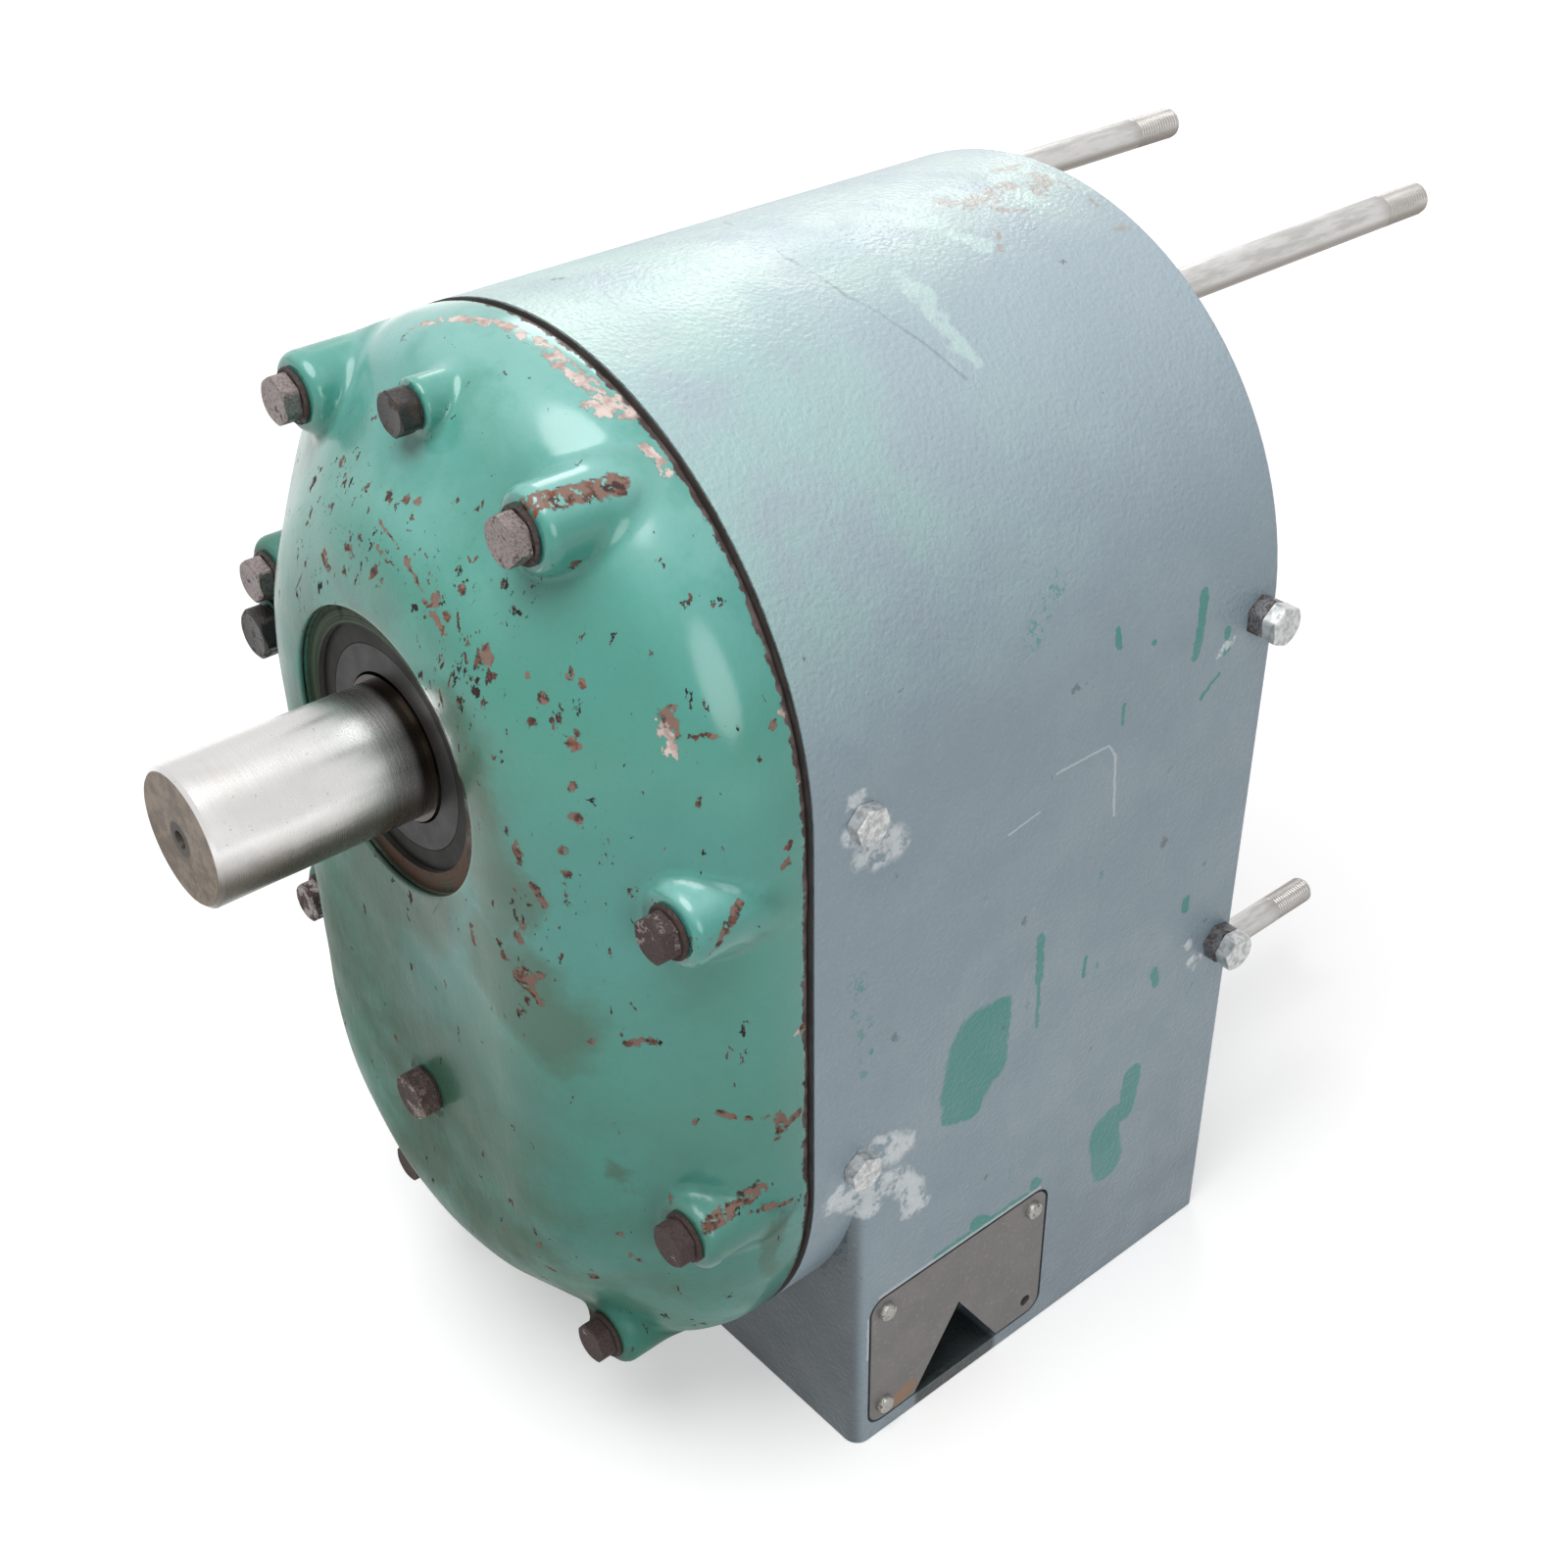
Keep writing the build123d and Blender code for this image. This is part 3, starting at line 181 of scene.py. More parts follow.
# ---------------------------------------------------------------- node trees
class Graph:
    """Short ways to add and wire nodes in one tree."""

    def __init__(self, tree):
        self.tree = tree

    def node(self, kind, values=None, **settings):
        made = self.tree.nodes.new(kind)
        for key, value in settings.items():
            setattr(made, key, value)
        for key, value in (values or {}).items():
            self.put(made.inputs[key], value)
        return made

    def put(self, socket, value):
        if isinstance(value, bpy.types.NodeSocket):
            self.tree.links.new(value, socket)
        elif socket.type == "RGBA" and len(value) == 3:
            socket.default_value = (*value, 1)
        else:
            socket.default_value = value

    def math(self, operation, first, second=0.0, clamp=False):
        return self.node("ShaderNodeMath", {0: first, 1: second}, operation=operation,
                         use_clamp=clamp).outputs[0]

    def plus(self, first, second):
        return self.math("ADD", first, second)

    def minus(self, first, second, clamp=False):
        return self.math("SUBTRACT", first, second, clamp)

    def times(self, first, *others):
        """Product of masks or values."""
        for other in others:
            first = self.math("MULTIPLY", first, other)
        return first

    def most(self, first, *others):
        """The highest of several masks."""
        for other in others:
            first = self.math("MAXIMUM", first, other)
        return first

    def vector(self, operation, first, second=(0, 0, 0), output="Vector"):
        return self.node("ShaderNodeVectorMath", {0: first, 1: second}, operation=operation).outputs[output]

    def scaled(self, vector, scale):
        return self.node("ShaderNodeVectorMath", {0: vector, 3: scale}, operation="SCALE").outputs["Vector"]

    def size(self, vector):
        return self.vector("LENGTH", vector, output="Value")

    def split(self, vector):
        return self.node("ShaderNodeSeparateXYZ", {0: vector}).outputs

    def join(self, x, y, z):
        return self.node("ShaderNodeCombineXYZ", {0: x, 1: y, 2: z}).outputs[0]

    def stretched(self, vector, x, y, z):
        """The vector with each part multiplied by its own value."""
        parts = self.split(vector)
        return self.join(self.times(parts[0], x), self.times(parts[1], y), self.times(parts[2], z))

    def fit(self, value, low, high, to_low=0.0, to_high=1.0, smooth=True):
        """The value's share of the way from low to high; the soft steps need no clamp of their own."""
        made = self.node("ShaderNodeMapRange", {"Value": value, "From Min": low, "From Max": high,
                                                "To Min": to_low, "To Max": to_high})
        made.interpolation_type = "SMOOTHSTEP" if smooth else "LINEAR"
        made.clamp = not smooth
        return made.outputs["Result"]

    def mix(self, factor, first, second):
        made = self.node("ShaderNodeMix", data_type="RGBA", clamp_factor=True)
        for key, value in (("Factor", factor), (6, first), (7, second)):
            self.put(made.inputs[key], value)
        return made.outputs[2]

    def tint(self, body, colour, *masks):
        """The body with a colour laid over it where all the masks are high."""
        return self.mix(self.times(*masks), body, colour)

    def noise(self, position, scale, detail=3.0, roughness=0.55, output="Fac"):
        return self.node("ShaderNodeTexNoise", {"Vector": position, "Scale": scale, "Detail": detail,
                                                "Roughness": roughness}).outputs[output]

    def patches(self, position, scale, low, high, to_low=0.0, to_high=1.0, detail=4.0, roughness=0.6):
        """Cloudy patches: noise fitted from its levels low to high."""
        return self.fit(self.noise(position, scale, detail, roughness), low, high, to_low, to_high)

    def wobble(self, position, amount, grain):
        """The position pushed about by noise, for ragged edges."""
        push = self.vector("SUBTRACT", self.noise(position, grain, 4.0, 0.6, "Color"), (0.5, 0.5, 0.5))
        return self.vector("ADD", position, self.scaled(push, amount))

    def facing(self):
        """The parts of the surface's direction."""
        return self.split(self.node("ShaderNodeNewGeometry").outputs["Normal"])

    def seen(self):
        """1 where the surface is looked at, directly or in a reflection."""
        ray = self.node("ShaderNodeLightPath").outputs
        return self.most(ray["Is Camera Ray"], ray["Is Glossy Ray"], ray["Is Transmission Ray"])

    def use(self, maker, **values):
        """Places a shared effect, which is built the first time."""
        if maker not in EFFECTS:
            EFFECTS[maker] = maker()
        return self.node("ShaderNodeGroup", values, node_tree=EFFECTS[maker]).outputs


EFFECTS = {}


def effect(name, inputs, *outputs):
    """An empty shader node group with named sockets: its tree, graph, inputs and outputs."""
    tree = bpy.data.node_groups.new(name, "ShaderNodeTree")
    for label, default in inputs.items():
        kind = "Float" if isinstance(default, float) else {3: "Vector", 4: "Color"}[len(default)]
        tree.interface.new_socket(label, in_out="INPUT",
                                  socket_type="NodeSocket" + kind).default_value = default
    for label in outputs:
        kind = "Color" if label == "Colour" else "Float"
        tree.interface.new_socket(label, in_out="OUTPUT", socket_type="NodeSocket" + kind)
    graph = Graph(tree)
    return tree, graph, graph.node("NodeGroupInput").outputs, graph.node("NodeGroupOutput").inputs


NOWHERE, EVEN = (0.0, 0.0, 0.0), (1.0, 1.0, 1.0)


def worn_stroke():
    """A mark along a straight run, added to the marks before it: 1 within Width of the run."""
    tree, g, given, out = effect("Worn Stroke", {
        "Position": NOWHERE, "Start": NOWHERE, "Run": NOWHERE, "Width": 0.004, "Softness": 0.15,
        "Before": 0.0}, "Mask")
    run = given["Run"]
    offset = g.vector("SUBTRACT", given["Position"], given["Start"])
    along = g.vector("DOT_PRODUCT", offset, run, "Value")
    whole = g.plus(g.vector("DOT_PRODUCT", run, run, "Value"), 1e-9)
    share = g.most(g.math("MINIMUM", g.math("DIVIDE", along, whole), 1.0), 0.0)
    gap = g.math("DIVIDE", g.size(g.vector("SUBTRACT", offset, g.scaled(run, share))), given["Width"])
    low, high = g.minus(1.0, given["Softness"]), g.plus(1.0, given["Softness"])
    g.put(out["Mask"], g.most(given["Before"], g.fit(gap, low, high, 1.0, 0.0)))
    return tree


def paint_chips():
    """Small flakes knocked out of paint, more of them where Amount is high."""
    tree, g, given, out = effect("Paint Chips", {
        "Position": NOWHERE, "Amount": 0.5, "Cells": 110.0, "Stretch": EVEN}, "Mask", "Rim", "Shade")
    placed = g.wobble(g.vector("MULTIPLY", given["Position"], given["Stretch"]), 0.011, 330.0)
    pick = g.node("ShaderNodeTexVoronoi", {"Vector": placed, "Scale": given["Cells"]}).outputs
    lot, size, shade = g.split(pick["Color"])
    chosen = g.math("LESS_THAN", lot, given["Amount"])
    reach = g.times(g.fit(g.math("POWER", size, 2.2), 0.0, 1.0, 0.06, 0.42, smooth=False), chosen)
    gap = g.minus(reach, pick["Distance"])
    g.put(out["Mask"], g.fit(gap, -0.004, 0.012))
    g.put(out["Rim"], g.times(g.fit(gap, -0.05, 0.0), chosen))
    g.put(out["Shade"], shade)
    return tree


def scratches():
    """Long thin marks along one direction."""
    tree, g, given, out = effect("Scratches", {
        "Position": NOWHERE, "Direction": NOWHERE, "Across": 420.0, "Along": 22.0, "Amount": 0.5}, "Mask")
    turned = g.node("ShaderNodeVectorRotate", {"Vector": given["Position"], "Rotation": given["Direction"]},
                    rotation_type="EULER_XYZ").outputs[0]
    streak = g.noise(g.stretched(turned, given["Along"], given["Across"], given["Across"]), 1.0, 2.0, 0.5)
    level = g.fit(given["Amount"], 0.0, 1.0, 0.80, 0.56, smooth=False)
    mark = g.fit(streak, level, g.plus(level, 0.05))
    breaks = g.patches(given["Position"], 38.0, 0.42, 0.62, detail=2.0, roughness=0.5)
    g.put(out["Mask"], g.times(mark, breaks))
    return tree


def cast_surface():
    """Orange peel and slow waves of brushed paint over a sand casting."""
    tree, g, given, out = effect("Cast Surface", {
        "Position": NOWHERE, "Peel": 0.5, "Waves": 0.5, "Brush": EVEN}, "Height")
    position = given["Position"]
    height = g.times(g.noise(position, 420.0, 2.0, 0.5), given["Peel"])
    height = g.plus(height, g.times(g.noise(position, 34.0, 3.0, 0.5), given["Waves"]))
    brushed = g.noise(g.vector("MULTIPLY", position, given["Brush"]), 160.0, 3.0, 0.6)
    g.put(out["Height"], g.plus(height, g.times(brushed, 0.5)))
    return tree


def rusting():
    """Mottled rust over worn steel: a colour, how rough it is and how high it stands."""
    tree, g, given, out = effect("Rusting", {
        "Position": NOWHERE, "Steel": (0.3, 0.3, 0.3, 1.0), "Rust": (0.1, 0.04, 0.03, 1.0), "Amount": 0.5,
        "Grain": 190.0}, "Colour", "Roughness", "Height", "Bare")
    steel, rust = given["Steel"], given["Rust"]
    coarse = g.noise(given["Position"], given["Grain"], 5.0, 0.62)
    fine = g.noise(given["Position"], g.times(given["Grain"], 5.0), 3.0, 0.6)
    level = g.fit(given["Amount"], 0.0, 1.0, 0.72, 0.28, smooth=False)
    blend = g.plus(g.times(coarse, 0.75), g.times(fine, 0.25))
    rusty = g.fit(blend, g.minus(level, 0.05), g.plus(level, 0.06))
    dark = g.mix(g.fit(fine, 0.35, 0.7), rust, g.scaled(rust, 0.45))
    worn = g.mix(g.fit(fine, 0.4, 0.65), steel, g.scaled(steel, 0.6))
    g.put(out["Colour"], g.mix(rusty, worn, dark))
    g.put(out["Roughness"], g.fit(rusty, 0.0, 1.0, 0.38, 0.85))
    g.put(out["Height"], g.plus(g.times(rusty, 0.4), fine))
    g.put(out["Bare"], g.minus(1.0, rusty))
    return tree


def turning_marks():
    """Fine rings left by a lathe about an axis along Y, with a few stains."""
    tree, g, given, out = effect("Turning Marks", {"Position": NOWHERE, "Pitch": 2600.0},
                                 "Rings", "Stain", "Specks")
    position = given["Position"]
    g.put(out["Rings"], g.noise(g.stretched(position, 3.0, given["Pitch"], 3.0), 1.0, 2.0, 0.6))
    g.put(out["Stain"], g.noise(position, 26.0, 4.0, 0.6))
    g.put(out["Specks"], g.patches(position, 480.0, 0.70, 0.76, detail=2.0, roughness=0.5))
    return tree


def material(name):
    """A material with its graph, its Principled shader and the part's own coordinates."""
    made = bpy.data.materials.new(name)
    made.use_nodes = True
    graph = Graph(made.node_tree)
    shader = made.node_tree.nodes["Principled BSDF"]
    return made, graph, shader, graph.node("ShaderNodeTexCoord").outputs["Object"]


def coat(g, shader, height, strength, distance, **looks):
    """Feeds the shader's sockets, its normal through a bump of the height."""
    for key, value in looks.items():
        g.put(shader.inputs[key.replace("_", " ")], value)
    g.put(shader.inputs["Normal"], g.node("ShaderNodeBump", {"Height": height, "Strength": strength,
                                                             "Distance": distance}).outputs[0])


def dress(node, made):
    """Gives a CAD node's object a new material."""
    slots = frame["nodes"][node].data.materials
    slots.clear()
    slots.append(made)


# ---------------------------------------------------------------- mesh helpers
def seat(point, outward, turn=0.0):
    """Local frame at a point: z runs outward, turned about it by so many degrees."""
    side = Vector((0, 0, 1)).cross(outward)
    side = side.normalized() if side.length > 0.01 else Vector((1, 0, 0))
    up = Vector(outward).cross(side)
    axes = Matrix((side, up, outward)).transposed().to_4x4()
    return Matrix.Translation(point) @ axes @ Matrix.Rotation(math.radians(turn), 4, "Z")


def loft(mesh, rings, place, close_start=False, close_end=False):
    """Skins rings of points, given in the local frame, with quads."""
    rows = [[mesh.verts.new(place @ Vector(point)) for point in ring] for ring in rings]
    for low, high in zip(rows, rows[1:]):
        for k in range(len(low)):
            after = (k + 1) % len(low)
            mesh.faces.new((low[k], low[after], high[after], high[k]))
    if close_start:
        mesh.faces.new(list(reversed(rows[0])))
    if close_end:
        mesh.faces.new(rows[-1])


def circle(radius, height, segments=64):
    return [(radius * math.cos(2 * math.pi * k / segments), radius * math.sin(2 * math.pi * k / segments),
             height) for k in range(segments)]


def lathe(mesh, place, profile, segments=64, close_start=True, close_end=True):
    """Turns a profile of (radius, height) pairs about the local z axis."""
    loft(mesh, [circle(radius, height, segments) for radius, height in profile], place, close_start,
         close_end)


def hexagon(flats, height, drop_from=None, softness=0.0, segments=72):
    """Hexagon ring; with drop_from, it falls away outside that radius as a chamfered head does."""
    ring = []
    for k in range(segments):
        angle = 2 * math.pi * k / segments
        folded = (angle + math.pi / 6) % (math.pi / 3) - math.pi / 6
        radius = flats / 2 / math.cos(folded)
        radius = min(radius, flats / 2 * (1.1547 - softness))
        drop = 0.0 if drop_from is None else max(radius - drop_from, 0) * 0.577
        ring.append((radius * math.cos(angle), radius * math.sin(angle), height - drop))
    return ring


def as_data(name, mesh):
    """Turns a bmesh into mesh data and frees it."""
    data = bpy.data.meshes.new(name)
    mesh.to_mesh(data)
    mesh.free()
    return data


def places(data):
    """The mesh's vertices as rows of x, y and z."""
    points = np.empty(len(data.vertices) * 3)
    data.vertices.foreach_get("co", points)
    return points.reshape(-1, 3)


def fit_piece(name, data, node, smooth_angle):
    """Fits a mesh to the casing in a CAD node's place."""
    data.polygons.foreach_set("use_smooth", [True] * len(data.polygons))
    data.set_sharp_from_angle(angle=math.radians(smooth_angle))
    piece = bpy.data.objects.new(name, data)
    bpy.context.scene.collection.objects.link(piece)
    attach(piece, "casing")
    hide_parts(node)


def finish_mesh(name, mesh, made, node, smooth_angle=32):
    """Turns a bmesh with one material into the piece that stands for a CAD node."""
    bmesh.ops.recalc_face_normals(mesh, faces=mesh.faces)
    data = as_data(name, mesh)
    data.materials.append(made)
    fit_piece(name.replace(" ", "_"), data, node, smooth_angle)


def head(mesh, place, flats, height, softness=0.03):
    """Hexagon head with a chamfered top and a washer face under it."""
    top = flats * 0.47
    under = flats * 0.48
    loft(mesh, [circle(under, 0, 72), hexagon(flats, flats * 0.02, softness=softness),
                hexagon(flats, height, top, softness), circle(top, height, 72),
                circle(top * 0.93, height * 0.985, 72)], place, True, True)


def washer(mesh, place, inner, outer, thickness):
    edge = thickness * 0.3
    lathe(mesh, place, [(inner, 0), (outer - edge, 0), (outer, edge), (outer, thickness - edge),
                        (outer - edge, thickness), (inner, thickness), (inner, 0)], close_start=False,
          close_end=False)


def threaded(mesh, place, radius, start, end, pitch, segments=36):
    """Threaded rod end: a shallow helix that fades in, and a slightly rounded tip."""
    rows = int((end - start) / pitch * 6)
    rings = []
    for row in range(rows + 1):
        height = start + (end - start) * row / rows
        ring = []
        for k in range(segments):
            angle = 2 * math.pi * k / segments
            crest = abs(2 * ((height / pitch - k / segments) % 1.0) - 1)
            into_tip = max(0.0, (height - (end - 0.003)) / 0.003)
            fade = min(1.0, (height - start) / pitch) * (1 - into_tip)
            own = radius - 0.3 * pitch * crest * fade - 0.0022 * into_tip ** 2
            ring.append((own * math.cos(angle), own * math.sin(angle), height))
        rings.append(ring)
    loft(mesh, rings, place, False, True)


# ---------------------------------------------------------------- shape of the cover casting
def rounded(before, corner, after, radius, steps=16):
    """Arc that rounds the corner of a 2D outline."""
    corner = np.array(corner)
    back = np.array(before) - corner
    on = np.array(after) - corner
    back, on = back / np.linalg.norm(back), on / np.linalg.norm(on)
    half = math.acos(float(back @ on)) / 2
    bisector = (back + on) / np.linalg.norm(back + on)
    centre = corner + bisector * radius / math.sin(half)
    start = corner + back * radius / math.tan(half) - centre
    end = corner + on * radius / math.tan(half) - centre
    first, last = math.atan2(start[1], start[0]), math.atan2(end[1], end[0])
    turn = (last - first + math.pi) % (2 * math.pi) - math.pi
    return [tuple(centre + radius * np.array((math.cos(first + turn * k / steps),
                                              math.sin(first + turn * k / steps))))
            for k in range(steps + 1)]


def dome_outline(sizes):
    """Distance from the line of the axes against height over the casing's front."""
    depth = SEAM - COVER_FACE
    foot, shoulder = (HALF, -0.04), (HALF, sizes.shoulder)
    brow, middle = (HALF - sizes.slope, depth), (-0.06, depth)
    return np.array([foot] + rounded(foot, shoulder, brow, sizes.rim_blend)
                    + rounded(shoulder, brow, middle, sizes.face_blend) + [middle])


MARGIN = 0.02                      # how far the dome's table goes past the shape
RIPPLE = 0.00022                   # unevenness of the sand casting
UNMACHINED = 0.0006                # what is milled off the bosses and seats
WIDEST_CUT, CUT_MARGIN = 0.0146, 0.0015
BOSS_RADIUS = 0.0175
SEAT_MARGIN = 0.003                # how far a plug's seat reaches past its seal
BOLT_HOLE = 0.00605                # radius of a hole that a 12 mm thread fills
HOLE_PAST_BOLT = 0.003             # depth that a rod's hole has left behind the bolt's end


class CoverShape:
    """Signed distance to the cover's outside: the dome, its bosses and its spot faces, blended."""

    def __init__(self, sizes, bosses, seats):
        self.sizes, self.bosses, self.seats = sizes, bosses, seats
        outline = dome_outline(sizes)
        self.grid = 0.0005
        across = np.arange(-MARGIN, 0.20, self.grid)
        up = np.arange(-MARGIN, 0.12, self.grid)
        points = np.stack(np.meshgrid(across, up, indexing="ij"), -1)
        nearest = np.full(points.shape[:2], 1.0)
        for start, end in zip(outline, outline[1:]):
            run = end - start
            share = np.clip(((points - start) @ run) / (run @ run), 0, 1)
            nearest = np.minimum(nearest, np.linalg.norm(points - start - share[..., None] * run, axis=-1))
        order = np.argsort(outline[:, 0])
        roof = np.interp(across, outline[order, 0], outline[order, 1])
        inside = (across[:, None] < HALF) & (up[None] < roof[:, None])
        self.dome_table = np.where(inside, -nearest, nearest)

    def across(self, points):
        """Distance from the straight line between the two axes."""
        along = np.clip(points[:, 2], LOWER, UPPER)
        return np.hypot(points[:, 0], points[:, 2] - along)

    def dome(self, points):
        column = np.clip((self.across(points) + MARGIN) / self.grid, 0, self.dome_table.shape[0] - 1.001)
        row = np.clip((SEAM - points[:, 1] + MARGIN) / self.grid, 0, self.dome_table.shape[1] - 1.001)
        i, j = column.astype(int), row.astype(int)
        u, v = column - i, row - j
        table = self.dome_table
        return ((1 - u) * ((1 - v) * table[i, j] + v * table[i, j + 1])
                + u * ((1 - v) * table[i + 1, j] + v * table[i + 1, j + 1]))

    def drum(self, points, x, z, radius, height, edge):
        """Upright cylinder on the joint with a rounded outer edge."""
        out = np.hypot(points[:, 0] - x, points[:, 2] - z) - (radius - edge)
        up = (SEAM - points[:, 1]) - (height - edge)
        return np.hypot(np.maximum(out, 0), np.maximum(up, 0)) + np.minimum(np.maximum(out, up), 0) - edge

    def join(self, first, second, blend):
        near = np.maximum(blend - np.abs(first - second), 0) / blend
        return np.minimum(first, second) - near * near * blend / 4

    def plain(self, points):
        """Distance with sharp creases."""
        distance = self.dome(points)
        for x, z, radius, height in self.bosses + self.seats:
            distance = np.minimum(distance, self.drum(points, x, z, radius, height, 0.0005))
        return distance

    def __call__(self, points):
        sizes = self.sizes
        distance = self.dome(points)
        waves = (np.sin(points[:, 0] * 71 + 1.3) * np.sin(points[:, 2] * 63 + 0.4)
                 + 0.6 * np.sin(points[:, 0] * 133 + points[:, 2] * 57) * np.sin(points[:, 2] * 121 + 2.0))
        distance = distance + RIPPLE * waves
        for x, z, radius, height in self.bosses:
            drum = self.drum(points, x, z, radius, height + UNMACHINED, sizes.boss_edge)
            distance = self.join(distance, drum, sizes.boss_blend)
        for x, z, radius, height in self.seats:
            drum = self.drum(points, x, z, radius, height + UNMACHINED, 0.002)
            distance = self.join(distance, drum, sizes.boss_blend * 0.45)
        for x, z, radius, height in self.bosses + self.seats:
            reach = min(radius, WIDEST_CUT) - CUT_MARGIN
            cut = np.maximum(np.hypot(points[:, 0] - x, points[:, 2] - z) - reach,
                             height - (SEAM - points[:, 1]))
            distance = -self.join(-distance, cut, 0.0012)
        wall = self.across(points) - HALF - 0.0004
        distance = -self.join(-distance, -wall, 0.002)
        back = (SEAM - COVER_BACK) - (SEAM - points[:, 1])
        return -self.join(-distance, -back, 0.005)

    def slope(self, points, step=0.0003):
        """Unit gradient by central differences."""
        columns = []
        for axis in range(3):
            shift = np.zeros(3)
            shift[axis] = step
            columns.append(self(points + shift) - self(points - shift))
        gradient = np.stack(columns, 1)
        return gradient / np.maximum(np.linalg.norm(gradient, axis=1, keepdims=True), 1e-12)


def stadium_ring(radius, y, segments=160):
    """Ring of points round both axes at one station."""
    ring = []
    for k in range(segments):
        angle = 2 * math.pi * (k + 0.5) / segments
        axis = UPPER if math.sin(angle) > 0 else LOWER
        ring.append((radius * math.cos(angle), y, axis + radius * math.sin(angle)))
    return ring


def skin_mesh(shape, sizes):
    """The cover's outer skin: an even mesh drawn onto the blended shape."""
    mesh = bmesh.new()
    home = Matrix.Identity(4)
    outline = [(reach, height) for reach, height in dome_outline(sizes) if reach > 0.004]
    rings = [stadium_ring(HALF, SEAM + 0.012)]
    rings += [stadium_ring(reach, SEAM - height) for reach, height in outline[1:]]
    rings.append(stadium_ring(0.005, COVER_FACE))
    loft(mesh, rings, home, True, True)
    for x, z, radius, height in shape.bosses + shape.seats:
        lathe(mesh, seat(Vector((x, SEAM + 0.012, z)), FRONT), [(radius, 0), (radius, height + 0.012)], 48)
    bmesh.ops.recalc_face_normals(mesh, faces=mesh.faces)
    draft = bpy.data.objects.new("Rough cover", as_data("Rough cover", mesh))
    bpy.context.scene.collection.objects.link(draft)
    remesh = draft.modifiers.new("Even mesh", "REMESH")
    remesh.mode, remesh.voxel_size = "VOXEL", sizes.skin_step
    fine = bpy.data.meshes.new_from_object(draft.evaluated_get(bpy.context.evaluated_depsgraph_get()))
    bpy.data.objects.remove(draft)
    points = places(fine)
    for _ in range(4):
        points -= shape.slope(points) * shape(points)[:, None]
    fine.vertices.foreach_set("co", points.ravel())
    return fine


# ---------------------------------------------------------------- where the wear is
# Each mark is (x, y, z, x, y, z, width) from one end to the other, or (x, y, z, width), in millimetres.
COVER_RUST = [
    (2, -234, 486, 19, -234, 482, 0.9), (23, -235, 479, 37, -237, 471, 1), (6, -237, 478, 22, -238, 473, 0.8),
    (38, -238, 468, 51, -239, 459, 1.1), (-13, -240, 471, -7, -240, 469, 1.8),
    (-30, -242, 461, -26, -242, 458, 2.6), (84, -219, 518, 89, -211, 521, 4.2),
    (89, -211, 521, 92, -184, 519, 4.6), (87, -241, 316, 5.5), (90, -240, 311, 93, -239, 306, 2.2),
    (94, -237, 319, 2.4), (135, -199, 448, 136, -199, 441, 3.6), (141, -194, 438, 150, -186, 440, 1),
    (155, -166, 438, 2), (144, -201, 253, 2), (152, -195, 259, 155, -191, 257, 2.2), (159, -185, 255, 1.9),
    (162, -179, 255, 1.8), (164, -173, 252, 2.2), (165, -163, 248, 164, -168, 246, 2.4),
    (164, -172, 250, 164, -171, 244, 2.8), (164, -173, 239, 1.6), (164, -166, 388, 2.4),
    (165, -160, 293, 2.4), (164, -167, 381, 2.8), (165, -168, 200, 162, -192, 206, 1.3),
    (158, -208, 207, 159, -196, 209, 3.6), (159, -196, 209, 162, -182, 214, 3.8),
    (161, -206, 357, 164, -196, 365, 2.8), (164, -194, 366, 163, -189, 371, 2.4), (136, -213, 209, 3.6),
    (115, -223, 178, 1.9), (116, -219, 164, 1.8), (119, -216, 160, 1.9), (95, -226, 137, 2.9),
    (75, -235, 132, 2.2), (76, -240, 152, 1.9), (52, -244, 145, 1.5), (43, -236, 468, 44, -236, 474, 2),
    (50, -236, 466, 2.4), (-40, -223, 492, 2.8), (11, -225, 496, 1.8), (17, -224, 497, 1.8),
    (52, -230, 476, 2.4), (70, -233, 458, 72, -233, 455, 2.8), (68, -236, 446, 2), (88, -226, 453, 1.9),
    (100, -217, 455, 1.9), (106, -215, 453, 2.4), (95, -225, 445, 96, -225, 451, 1.9), (93, -230, 437, 2.6),
    (107, -222, 429, 108, -222, 434, 2.4), (109, -225, 413, 2.4), (111, -226, 401, 3), (107, -230, 386, 2.6),
    (90, -240, 374, 90, -240, 384, 1.5), (95, -238, 366, 99, -236, 358, 1.7), (108, -230, 375, 1.9),
    (88, -240, 343, 2.4), (74, -244, 329, 78, -243, 322, 1.5), (-25, -245, 211, 2.2), (111, -227, 290, 1.9),
    (123, -218, 292, 131, -212, 294, 2), (86, -241, 336, 2.6), (55, -245, 326, 57, -245, 317, 1.5),
    (150, -187, 405, 154, -185, 405, 1.3)]
COVER_PRIMER = [
    (-42, -184, 537, -22, -175, 544, 1.7), (-22, -175, 544, 0, -168, 547, 2.4),
    (0, -168, 547, 18, -167, 546, 2.6), (18, -167, 546, 45, -167, 541, 3.4),
    (45, -167, 541, 69, -162, 532, 4.2), (60, -172, 535, 66, -170, 532, 3.5),
    (84, -166, 524, 95, -163, 518, 2.4), (134, -201, 440, 137, -199, 431, 3.2), (132, -203, 444, 2.2),
    (154, -161, 441, 157, -158, 441, 1.7), (162, -159, 412, 1.4), (165, -163, 292, 1.8)]
COVER_OLIVE = [
    (164, -176, 190, 159, -172, 160, 11), (114, -225, 210, 9), (-30, -244, 300, 20, -245, 330, 30),
    (72, -244, 317, 97, -237, 290, 24), (60, -244, 420, 80, -243, 350, 16)]
